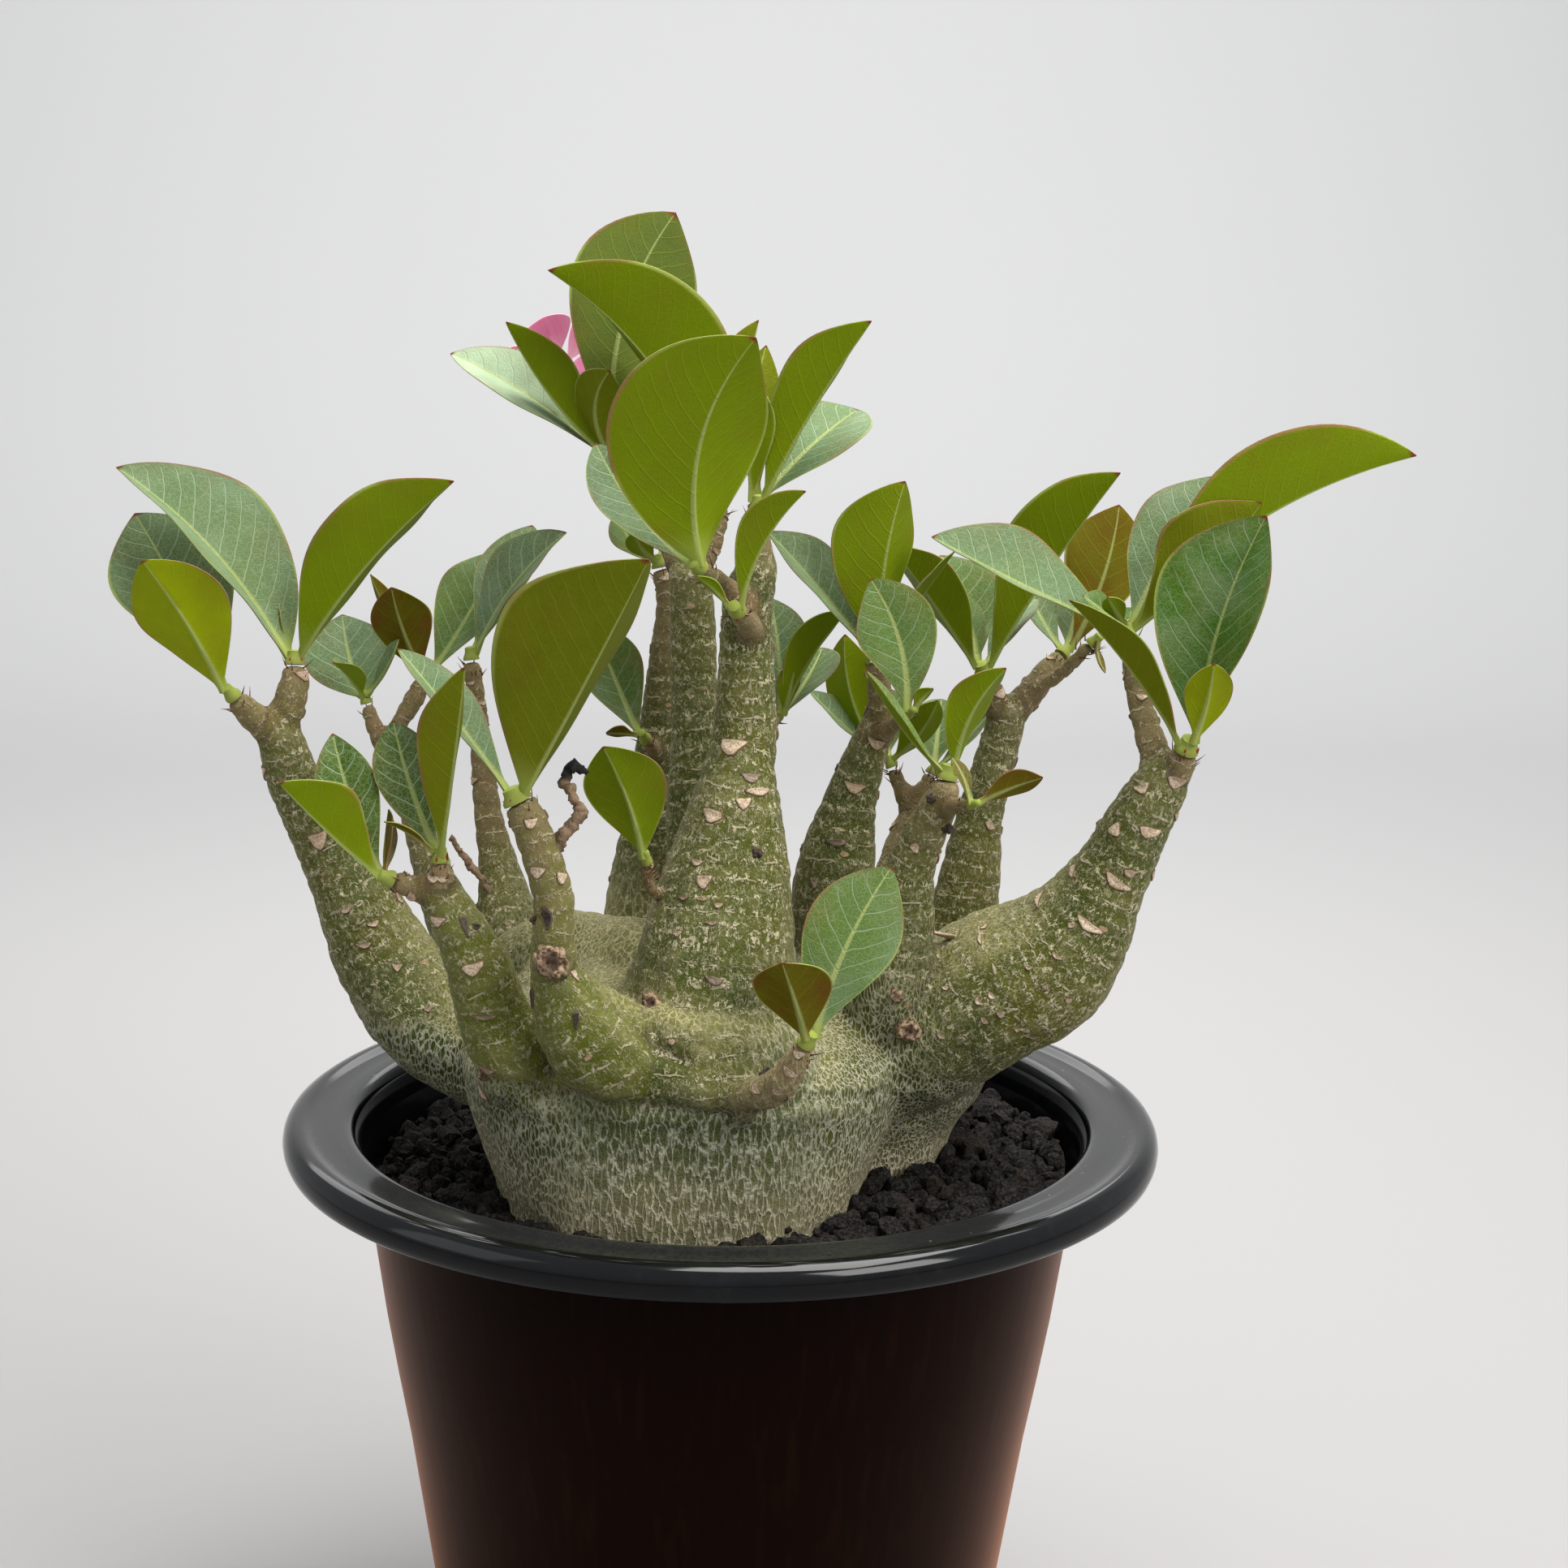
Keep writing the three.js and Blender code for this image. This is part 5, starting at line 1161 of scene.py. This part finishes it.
def blade(root, leaf, rng):
    """One leaf as a thin closed sheet: points, faces and what the finish reads at each point."""
    azimuth, rise, length, width, roll, bow, sweep, fold, belly, look = leaf
    r, f = math.radians(roll), math.radians(fold)
    ahead, level = heading(azimuth, rise), heading(azimuth, rise + 90)
    face = level * math.cos(r) + np.cross(ahead, level) * math.sin(r)
    side = np.cross(ahead, face)
    power = math.log(0.5) / math.log(belly / 100)
    wave, wave_phase = rng.uniform(0.2, 0.55) * width / 30, rng.uniform(0, 6.28)
    e = np.array(BLADE_ACROSS)
    rows = {"upper": [], "lower": [], "flat": [], "share": []}
    for step in range(BLADE_STEPS + 1):
        t = 1 - (1 - step / BLADE_STEPS) ** 1.12
        hump, slope = 4 * t * (1 - t), 4 - 8 * t
        middle = root + ahead * t * length + face * bow * hump + side * sweep * hump
        tangent = unit(ahead * length + face * bow * slope + side * sweep * slope)
        across = unit(side - tangent * np.dot(side, tangent))
        out = np.cross(across, tangent)
        outline = max(math.sin(math.pi * t**power), 0) ** 0.85
        half = max(width / 2 * outline, 1.05 * (1 - t) ** 0.6 + 0.12)
        body = min(1.0, outline * 1.4)
        lift = np.abs(e) ** 1.35 * half * math.sin(f)
        lift += body * wave * np.abs(e) ** 3 * np.sin(2 * math.pi * 2.3 * t + wave_phase + (e > 0) * 1.7)
        lift += 0.05 * half * body * np.sin(math.pi * np.abs(e))
        spread = e * half * math.cos(f)
        keel = np.exp(-((e * half) / 0.85) ** 2)
        stalk = 1 - soft_step(0.0, 0.16, t)
        thick = 0.34 + 0.2 * (1 - np.abs(e)) + 1.1 * stalk * (1 - np.abs(e) ** 2)
        thick = thick * (1 - 0.4 * t)
        middle_line = middle + np.outer(spread, across) + np.outer(lift, out)
        dent = 0.28 * keel * (1 - stalk) * body * (1 - t)
        ridge = 0.62 * keel * body * (1 - 0.8 * t)
        rows["upper"].append(middle_line + np.outer(thick / 2 - dent, out))
        rows["lower"].append(middle_line - np.outer(thick / 2 + ridge, out))
        rows["flat"].append(np.stack([e * half, np.full(len(e), t * length), np.full(len(e), half)], 1))
        rows["share"].append(np.stack([np.abs(e), np.full(len(e), t), np.full(len(e), float(stalk))], 1))
    upper, lower = np.vstack(rows["upper"]), np.vstack(rows["lower"])
    columns = len(BLADE_ACROSS)
    under = len(upper)
    faces = []
    for row in range(BLADE_STEPS):
        for k in range(columns - 1):
            a, b = row * columns + k, row * columns + k + 1
            c, d = b + columns, a + columns
            faces += [(a, b, c, d), (under + a, under + d, under + c, under + b)]
        a, b = row * columns, (row + 1) * columns
        faces.append((a, b, under + b, under + a))
        a, b = a + columns - 1, b + columns - 1
        faces.append((a, under + a, under + b, b))
    last = BLADE_STEPS * columns
    for k in range(columns - 1):
        faces.append((k, under + k, under + k + 1, k + 1))
        faces.append((last + k, last + k + 1, under + last + k + 1, under + last + k))
    # The underside colour is partly painted light shining through the blade.
    upper_colour, under_colour, vein = BLADE_LOOKS[look]
    shade = rng.uniform(0.88, 1.12)
    tints = np.ones((2 * under, 4))
    tints[:under, :3] = np.array(upper_colour) * shade
    tints[under:, :3] = np.array(under_colour) * shade
    flat = np.vstack([np.vstack(rows["flat"])] * 2)
    share = np.vstack([np.vstack(rows["share"])] * 2)
    offset = rng.uniform(0, 900)
    flat[:, 2] = offset
    is_under = np.concatenate([np.zeros(under), np.ones(under)])
    red = {"bronze": 0.85}.get(look, 0.3)
    looks = np.stack([is_under, np.full(2 * under, vein), np.full(2 * under, red)], 1)
    return np.vstack([upper, lower]), faces, tints, flat * MM, share, looks


def shoot(end, ahead, radius):
    """The short green shoot that carries the leaves, with the same values as a blade keeps."""
    first = unit(np.cross(ahead, [0.0, 1.0, 0.0]))
    second = np.cross(ahead, first)
    rings, sides = 7, 14
    points = []
    for i in range(rings):
        share = i / (rings - 1)
        is_last = i == rings - 1
        girth = radius * (0.92 - 0.42 * share) * (1 + 0.07 * math.sin(9 * share)) * (0.5 if is_last else 1)
        centre = end + ahead * (0.3 + (SHOOT_LENGTH - 0.3) * share - (0.3 if is_last else 0))
        points += ring_points(centre, first, second, girth, sides)
    count = len(points)
    heights = np.repeat(np.linspace(0, 1, rings), sides)
    tints = np.ones((count, 4))
    tints[:, :3] = np.outer(1 - heights, (0.14, 0.09, 0.035)) + np.outer(heights, (0.2, 0.25, 0.05))
    share = np.stack([np.full(count, 0.5), heights * 0.2, np.ones(count)], 1)
    flat = np.stack([np.full(count, 5.0), heights * 5, np.zeros(count)], 1) * MM
    return np.array(points), skin_faces(rings, sides), tints, flat, share, np.zeros((count, 3))


def gathered_piece(name, parts):
    """One piece from several blades or shoots, with their kept values."""
    piece = gathered_mesh(name, parts)
    for label, index in {"tint": 2, "flat_blade": 3, "blade_share": 4, "blade_look": 5}.items():
        keep_values(piece, label, np.vstack([part[index] for part in parts]))
    bpy.ops.object.shade_smooth_by_angle(angle=math.radians(50))
    return piece


leaf_skin, tree, surface = new_finish("leathery_leaf")
tint = kept_value(tree, "tint", "Color")
flat_place = kept_value(tree, "flat_blade", "Vector")
flat_parts = axes(flat_place)
share_parts = axes(kept_value(tree, "blade_share", "Vector"))
look_parts = axes(kept_value(tree, "blade_look", "Vector"))
from_midrib = calc("ABSOLUTE", flat_parts["X"])
is_stalk = share_parts["Z"]
is_under, vein_pale, redness = look_parts["X"], look_parts["Y"], look_parts["Z"]
midrib_width = times(minus(1.15, share_parts["Y"]), 0.0012)
midrib = between(calc("DIVIDE", from_midrib, midrib_width), 1.0, 0.35)
uneven = times(minus(noise_value(flat_place, 260, 2), 0.5), 0.0016)
climb = minus(flat_parts["Y"], times(from_midrib, 0.72))
climb = plus(climb, uneven)
bend_up = times(calc("POWER", share_parts["X"], 3.0), -0.0025)
climb = plus(climb, bend_up)
rib_phase = calc("ABSOLUTE", minus(calc("FRACT", calc("DIVIDE", climb, 0.0048)), 0.5))
side_ribs = between(rib_phase, 0.075, 0.02)
side_ribs = times(side_ribs, between(share_parts["X"], 0.95, 0.78))
side_ribs = times(side_ribs, between(is_stalk, 0.7, 0.2))
vein_net = fine_net(flat_place, 620, 0.8, 0.1)
mesh_net = fine_net(flat_place, 1500, 0.9, 0.16)
veins = larger(side_ribs, times(vein_net, 0.5))
veins = larger(veins, times(mesh_net, 0.3))
veins = times(veins, between(is_stalk, 0.8, 0.3))
above = minus(1.0, is_under)
mottle = noise_value(flat_place, 120, 4)
skin = blend(between(mottle, 0.3, 0.7, 0.0, 0.25), tint, (0.16, 0.2, 0.01, 1))
bloom_patch = times(between(noise_value(flat_place, 60, 3), 0.4, 0.7), above)
skin = blend(times(bloom_patch, 0.3), skin, (0.25, 0.34, 0.24, 1))
upper_veins = times(times(veins, vein_pale), above)
skin = blend(upper_veins, skin, (0.42, 0.5, 0.33, 1))
lower_veins = times(times(veins, is_under), 0.16)
skin = blend(lower_veins, skin, (0.3, 0.34, 0.02, 1))
rib_strength = mix(is_under, 0.72, 0.6)
skin = layered(skin, [
    (times(midrib, rib_strength), (0.4, 0.45, 0.16, 1)),
    (times(is_stalk, 0.75), (0.3, 0.36, 0.07, 1)),
])
flush = times(between(noise_value(flat_place, 90, 3), 0.42, 0.7), redness)
flush = times(flush, between(share_parts["X"], 0.1, 1.0, 0.25, 1.0))
skin = blend(times(flush, 0.45), skin, (0.2, 0.035, 0.02, 1))
margin = times(between(share_parts["X"], 0.94, 0.985), between(is_stalk, 0.9, 0.3))
rosy_some = between(noise_value(flat_place, 45, 2), 0.42, 0.6)
margin_tone = blend(rosy_some, (0.36, 0.4, 0.1, 1), (0.3, 0.13, 0.07, 1))
skin = blend(times(margin, 0.7), skin, margin_tone)
tip = between(share_parts["Y"], 0.975, 0.992, 0.0, 0.9)
skin = blend(tip, skin, (0.16, 0.025, 0.012, 1))
fill(surface, {"Base Color": skin})
gloss = mix(is_under, 0.38, 0.5)
gloss = plus(gloss, times(mottle, 0.12))
fill(surface, {"Roughness": gloss, "Specular IOR Level": 0.07})
relief = times(veins, minus(times(is_under, 1.4), 0.9))
relief = plus(relief, times(noise_value(flat_place, 1800, 2), 0.15))
fill(surface, {"Normal": raise_bumps(relief, 0.00016)})


def limb_end(name):
    rows = np.array(LIMBS[name], float)
    ahead = rows[-1, :3] - rows[-2, :3]
    return rows[-1, :3], unit(ahead), rows[-1, 3]


for name, leaves in LEAVES.items():
    end, ahead, radius = limb_end(name)
    leaf_rng = random.Random(name)
    parts = [shoot(end, ahead, radius)]
    for i, leaf in enumerate(leaves):
        root = end + ahead * (1.8 + 0.45 * i) + heading(leaf[0], 0) * 0.65 * radius
        parts.append(blade(root, leaf, leaf_rng))
    rosette = gathered_piece("rosette_" + name, parts)
    rosette.data.materials.append(leaf_skin)
    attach(rosette, "root")
    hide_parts("leaves_" + name)

# ---------------------------------------------------------------- buds and stipules
# Round each growing tip stand thin dried stipules, dark red-brown hairs a few millimetres long, and
# on some a cluster of tiny deep-red buds. Both are fine curved spines rooted in the bark.

BUDDING_TIPS = [
    "left_arm_twig_right", "front_left_twig_right", "centre", "right_arm_twig_right", "front_mid",
]

def spine(root, way, bend, length, thickness, sides=4, rings=4):
    """A fine curved spine as a closed tapering skin."""
    first = unit(np.cross(way, [0.31, 0.2, 0.93]))
    second = np.cross(way, first)
    points = []
    for i in range(rings):
        share = i / (rings - 1)
        centre = root + way * length * share + bend * length * share * share
        girth = thickness * (1 - share) ** 0.7 + 0.03
        points += ring_points(centre, first, second, girth, sides)
    return np.array(points), skin_faces(rings, sides)


rng = random.Random(5)
hairs, buds = [], []
for name in LEAVES:
    end, ahead, radius = limb_end(name)
    across = unit(np.cross(ahead, [0.0, 1.0, 0.05]))
    other = np.cross(ahead, across)
    for _ in range(rng.randint(5, 10)):
        turn = rng.uniform(0, 6.28)
        out = across * math.cos(turn) + other * math.sin(turn)
        root = end - ahead * rng.uniform(0, 5) + out * radius * 0.85
        way = unit(out * rng.uniform(0.5, 1) + ahead * rng.uniform(0.4, 1))
        hairs.append(spine(root, way, ahead * rng.uniform(-0.1, 0.5), rng.uniform(1.4, 3.8), 0.2))
    if name in BUDDING_TIPS:
        for k in range(5):
            out = across * math.cos(1.3 * k) + other * math.sin(1.3 * k)
            root = end + ahead * (0.3 + 0.3 * k) + out * radius * 0.7
            way = unit(ahead + out * 0.55)
            buds.append(spine(root, way, -out * 0.3, rng.uniform(1.4, 2.4), 0.5, 8, 5))
hair_piece = gathered_mesh("stipules", hairs)
bpy.ops.object.shade_smooth()
hair_finish, tree, surface = new_finish("dried_stipule")
tone = noise_value(object_place(tree), 300, 2)
fill(surface, {"Base Color": blend(tone, (0.05, 0.012, 0.008, 1), (0.2, 0.06, 0.025, 1)), "Roughness": 0.6})
hair_piece.data.materials.append(hair_finish)
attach(hair_piece, "root")
bud_piece = gathered_mesh("red_buds", buds)
bpy.ops.object.shade_smooth()
bud_finish, tree, surface = new_finish("red_bud")
tone = noise_value(object_place(tree), 700, 2)
fill(surface, {
    "Base Color": blend(tone, (0.16, 0.006, 0.006, 1), (0.34, 0.03, 0.016, 1)), "Roughness": 0.4,
})
bud_piece.data.materials.append(bud_finish)
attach(bud_piece, "root")

# ---------------------------------------------------------------- flower
# One bloom on its own stalk behind the top leaves: a pale tube that widens to a throat, with five
# soft pink petals, darker to their ruffled edges. The petals are blades of the same make as leaves.

PETAL_COUNT = 5
FIRST_PETAL_TURN = 54
# The tube from its bend as [distance, radius] in mm, and where on it the petals stand.
TUBE_STEPS = [[6, 1.7], [16, 3.4], [24, 4.1], [28, 4.3]]
THROAT_DISTANCE = 26
end, stalk_ahead, _ = limb_end("flower_stalk")
flower_ahead = heading(135, 45)
start = end + stalk_ahead * 0.3
bend = start + stalk_ahead * 2
tube_path = [[*start, 1.3], [*bend, 1.4]]
tube_path += [[*(bend + flower_ahead * along), radius] for along, radius in TUBE_STEPS]
BLADE_LOOKS["petal"] = [(0.95, 0.4, 0.55), (0.95, 0.4, 0.55), 0.0]
throat = bend + flower_ahead * THROAT_DISTANCE
across = unit(np.cross([0, 0, 1.0], flower_ahead))
other = np.cross(flower_ahead, across)
petals = []
petal_rng = random.Random(8)
for i in range(PETAL_COUNT):
    turn = math.radians(FIRST_PETAL_TURN + 360 * i / PETAL_COUNT)
    way = across * math.cos(turn) + other * math.sin(turn)
    aim = unit(way + flower_ahead * 0.36)
    azimuth, rise = math.degrees(math.atan2(aim[1], aim[0])), math.degrees(math.asin(aim[2]))
    level = heading(azimuth, rise + 90)
    face = unit(flower_ahead - aim * np.dot(flower_ahead, aim))
    roll = math.degrees(math.atan2(np.dot(np.cross(aim, level), face), np.dot(level, face)))
    petal = [azimuth, rise, 16.5, 15, roll, 1, 0, 8, 66, "petal"]
    petals.append(blade(throat + way * 2.2, petal, petal_rng))
petal_piece = gathered_piece("petals", petals)
petal_skin, tree, surface = new_finish("pink_petal")
flat_place = kept_value(tree, "flat_blade", "Vector")
share_parts = axes(kept_value(tree, "blade_share", "Vector"))
lines = noise_value(stretch(flat_place, (1, 0.12, 1)), 1300, 3)
centre_pale = between(share_parts["Y"], 0.1, 0.6)
pink = blend(centre_pale, (0.97, 0.66, 0.78, 1), (0.96, 0.27, 0.52, 1))
rosy = times(between(share_parts["X"], 0.55, 1.0), centre_pale)
pink = layered(pink, [
    (rosy, (0.98, 0.42, 0.62, 1)),
    (times(lines, 0.25), (1.0, 0.5, 0.68, 1)),
])
# The petals glow faintly pink by emission: painted light that stands in for light shining through them.
fill(surface, {
    "Base Color": pink, "Roughness": 0.5, "Emission Color": (0.95, 0.16, 0.42, 1),
    "Emission Strength": 0.24, "Normal": raise_bumps(lines, 0.00015),
})
petal_piece.data.materials.append(petal_skin)
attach(petal_piece, "root")
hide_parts("flower")

tube = round_limb("flower_tube", smooth_course(tube_path, 1.0), 4)
tube = join_pieces([tube], "flower_tube")
bpy.ops.object.shade_smooth()
tube_skin, tree, surface = new_finish("flower_tube")
place = object_place(tree)
heights = axes(place)["Z"]
streaks = noise_value(place, 600, 3)
tone = blend(between(heights, 0.37, 0.384), (0.16, 0.2, 0.05, 1), (0.8, 0.4, 0.42, 1))
fill(surface, {
    "Base Color": blend(times(streaks, 0.4), tone, (0.5, 0.12, 0.14, 1)), "Roughness": 0.5,
    "Normal": raise_bumps(streaks, 0.0001),
})
tube.data.materials.append(tube_skin)
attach(tube, "root")

# ---------------------------------------------------------------- grit
# Loose dark volcanic grit fills the pot to just under the flange: porous lumps of 4 to 9 mm over a
# bed of crumbs. The bed is one turned body; each lump is a crumbled stone, copied, turned and sized.

SOIL_TOP = 176.3
SOIL_SLOPE = 0.03
GRIT_PITCH = 5.7
# Rows of lumps stand closer than the lumps in a row, by this share, inside the pot's opening.
ROW_SHARE = 0.87
OPENING_RADIUS = 96
bed_steps = [[4, 3.3], [40, 3.3], [67.1, 3.3], [71.1, 30], [82.1, 104], [93.1, 176]]
bed_steps += [[radius, SOIL_TOP - 0.6] for radius in np.arange(92, 2, -1.5)]
bed = turned_piece("grit_bed", bed_steps, 160)
bed_points = read_points(bed) / MM
on_top = bed_points[:, 2] > 170
crumbs = 0.9 * soft_waves(bed_points, 4.5, 31) + 0.5 * soft_waves(bed_points, 2.2, 32)
bed_points[:, 2] += np.where(on_top, SOIL_SLOPE * bed_points[:, 0] + crumbs, 0)
write_points(bed, bed_points * MM)
bpy.ops.object.shade_smooth_by_angle(angle=math.radians(60))

grit_stone, tree, surface = new_finish("volcanic_grit")
place = object_place(tree)
pores = add_node("ShaderNodeTexVoronoi", {"Vector": place, "Scale": 950.0}).outputs["Distance"]
crumble = noise_value(place, 1100, 5, 0.7)
each = noise_value(place, 95, 1)
stone = blend(between(crumble, 0.38, 0.72), (0.003, 0.0027, 0.0025, 1), (0.065, 0.057, 0.05, 1))
brownish = between(each, 0.52, 0.66)
stone = blend(times(brownish, 0.4), stone, (0.06, 0.043, 0.032, 1))
pore = between(pores, 0.28, 0.12)
stone = blend(times(pore, 0.75), stone, (0.003, 0.0028, 0.0026, 1))
dust = between(noise_value(place, 420, 4), 0.6, 0.75)
stone = blend(times(dust, 0.35), stone, (0.13, 0.11, 0.095, 1))
fill(surface, {"Base Color": stone, "Roughness": 0.88, "Specular IOR Level": 0.2})
pitted = minus(crumble, times(pore, 0.6))
fill(surface, {"Normal": raise_bumps(pitted, 0.0014)})
bed.data.materials.append(grit_stone)
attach(bed, "root")
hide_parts("soil")

stones = []
for n in range(8):
    deselect_all()
    bpy.ops.mesh.primitive_ico_sphere_add(subdivisions=2, radius=1.0)
    stone_points = read_points(bpy.context.object)
    lumpy = 0.2 * soft_waves(stone_points, 0.9, 70 + n) + 0.17 * soft_waves(stone_points, 0.45, 80 + n)
    stone_faces = [tuple(face.vertices) for face in bpy.context.object.data.polygons]
    stones.append((stone_points * (1 + lumpy)[:, None], stone_faces))
    bpy.data.objects.remove(bpy.context.object)


def lobe_reach(section, x, y):
    """How far a point lies out from a lobe's middle, as a share of its outline there."""
    _, centre_x, centre_y, half_x, half_y = section
    across, deep = abs((x - centre_x) / half_x), abs((y - centre_y) / half_y)
    return (across**LOBE_SQUARENESS + deep**LOBE_SQUARENESS) ** (1 / LOBE_SQUARENESS)


def add_stone(x, y, z, size, rng):
    shape, faces = stones[rng.randrange(len(stones))]
    ways, _ = np.linalg.qr(np.array([[rng.gauss(0, 1) for _ in range(3)] for _ in range(3)]))
    if np.linalg.det(ways) < 0:
        ways[:, 0] *= -1
    stretched = shape * np.array([rng.uniform(0.85, 1.15), rng.uniform(0.8, 1.05), rng.uniform(0.7, 1.0)])
    grit_stones.append((stretched @ ways.T * size / 2 + np.array([x, y, z]), faces))


grit_stones = []
rng = random.Random(23)
rows = int(OPENING_RADIUS / (GRIT_PITCH * ROW_SHARE)) + 1
for i in range(-rows, rows + 1):
    for j in range(-rows - 3, rows + 4):
        x = (j + 0.5 * (i % 2)) * GRIT_PITCH + rng.uniform(-1.7, 1.7)
        y = i * GRIT_PITCH * ROW_SHARE + rng.uniform(-1.7, 1.7)
        size = 3.4 + 5.4 * rng.random() ** 1.5
        if math.hypot(x, y) > OPENING_RADIUS - 1.5 - size / 2:
            continue
        reach = min(lobe_reach(MAIN_LOBE[2], x, y) - 1, lobe_reach(RIGHT_LOBE[1], x, y) - 1) * 50
        if reach < 0.2 * size:
            continue
        bank = 2.5 * soft_step(88, OPENING_RADIUS, math.hypot(x, y)) + 1.4 * (1 - soft_step(2, 12, reach))
        add_stone(x, y, SOIL_TOP + SOIL_SLOPE * x + size * 0.18 + bank * rng.uniform(0.2, 1), size, rng)
        if rng.random() < 0.42:
            small = rng.uniform(1.8, 3.6)
            small_x, small_y = x + rng.uniform(-3, 3), y + rng.uniform(-3, 3)
            add_stone(small_x, small_y, SOIL_TOP + SOIL_SLOPE * x + 2.4 + bank, small, rng)
grit = gathered_mesh("grit_lumps", grit_stones)
bpy.ops.object.shade_smooth_by_angle(angle=math.radians(32))
grit.data.materials.append(grit_stone)
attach(grit, "root")

# ---------------------------------------------------------------- floor, light and camera
# A plain pale floor that rises behind into a pale backdrop, soft light from above and both sides,
# and a camera a little above the leaves, looking slightly down.

FLOOR_HALF = 3.0
BACKDROP_HEIGHT = 3.2
BACKDROP_ROUNDING = 1.2
deselect_all()
bpy.ops.mesh.primitive_plane_add(size=2 * FLOOR_HALF, location=(0, 0, 0))
floor = name_piece("floor")
bpy.ops.object.mode_set(mode="EDIT")
bpy.ops.mesh.select_all(action="DESELECT")
bpy.ops.object.mode_set(mode="OBJECT")
for edge in floor.data.edges:
    edge.select = all(floor.data.vertices[v].co.y > 0 for v in edge.vertices)
bpy.ops.object.mode_set(mode="EDIT")
bpy.ops.mesh.select_mode(type="EDGE")
bpy.ops.mesh.extrude_edges_move(TRANSFORM_OT_translate={"value": (0, 0, BACKDROP_HEIGHT)})
bpy.ops.object.mode_set(mode="OBJECT")
for edge in floor.data.edges:
    ends = [floor.data.vertices[v].co for v in edge.vertices]
    edge.select = all(end.y > 0 and end.z < 0.01 for end in ends)
bpy.ops.object.mode_set(mode="EDIT")
bpy.ops.mesh.bevel(offset=BACKDROP_ROUNDING, segments=24, affect="EDGES")
bpy.ops.object.mode_set(mode="OBJECT")
bpy.ops.object.shade_smooth()
pale_paint, tree, surface = new_finish("pale_floor")
far = axes(object_place(tree))["Y"]
paint = blend(between(far, -0.2, 3.0), (0.385, 0.377, 0.375, 1), (0.73, 0.725, 0.725, 1))
fill(surface, {"Base Color": paint, "Roughness": 0.9, "Specular IOR Level": 0.1})
floor.data.materials.append(pale_paint)

world = bpy.data.worlds.new("soft_room")
bpy.context.scene.world = world
world.use_nodes = True
world.node_tree.nodes["Background"].inputs["Color"].default_value = (0.95, 0.98, 1.0, 1)
world.node_tree.nodes["Background"].inputs["Strength"].default_value = 0.46


def soft_light(name, place, aim, size, power, colour):
    deselect_all()
    bpy.ops.object.light_add(type="AREA", location=place)
    light = bpy.context.object
    light.name = name
    light.data.shape = "RECTANGLE"
    light.data.size, light.data.size_y = size
    light.data.energy = power
    light.data.color = colour
    light.rotation_euler = (Vector(aim) - Vector(place)).to_track_quat("-Z", "Y").to_euler()


soft_light("overhead_light", (0.25, -0.05, 1.25), (0, 0, 0.25), (0.8, 0.7), 16, (1.0, 0.985, 0.96))
soft_light("right_light", (0.85, -0.85, 1.05), (0, 0, 0.25), (0.7, 0.7), 12, (1.0, 0.99, 0.97))
soft_light("rear_light", (-0.2, 0.95, 0.95), (0, 0, 0.25), (1.4, 0.5), 5, (1.0, 1.0, 1.0))
soft_light("left_light", (-1.2, -0.5, 0.8), (0, 0, 0.25), (0.8, 1.0), 2, (0.95, 0.98, 1.0))
soft_light("backdrop_light", (0, 1.1, 2.2), (0, 2.9, 0.5), (3.0, 0.5), 34, (1.0, 1.0, 1.0))

bpy.ops.object.camera_add(location=CAMERA_PLACE)
camera = bpy.context.object
camera.name = "front_camera"
camera.data.sensor_width = 36
camera.data.lens = 36 * FOCAL_LENGTH / FRAME_SIDE
camera.rotation_mode = "ZYX"
camera.rotation_euler = CAMERA_TURN
bpy.context.scene.camera = camera
bpy.context.scene.view_settings.view_transform = "Standard"
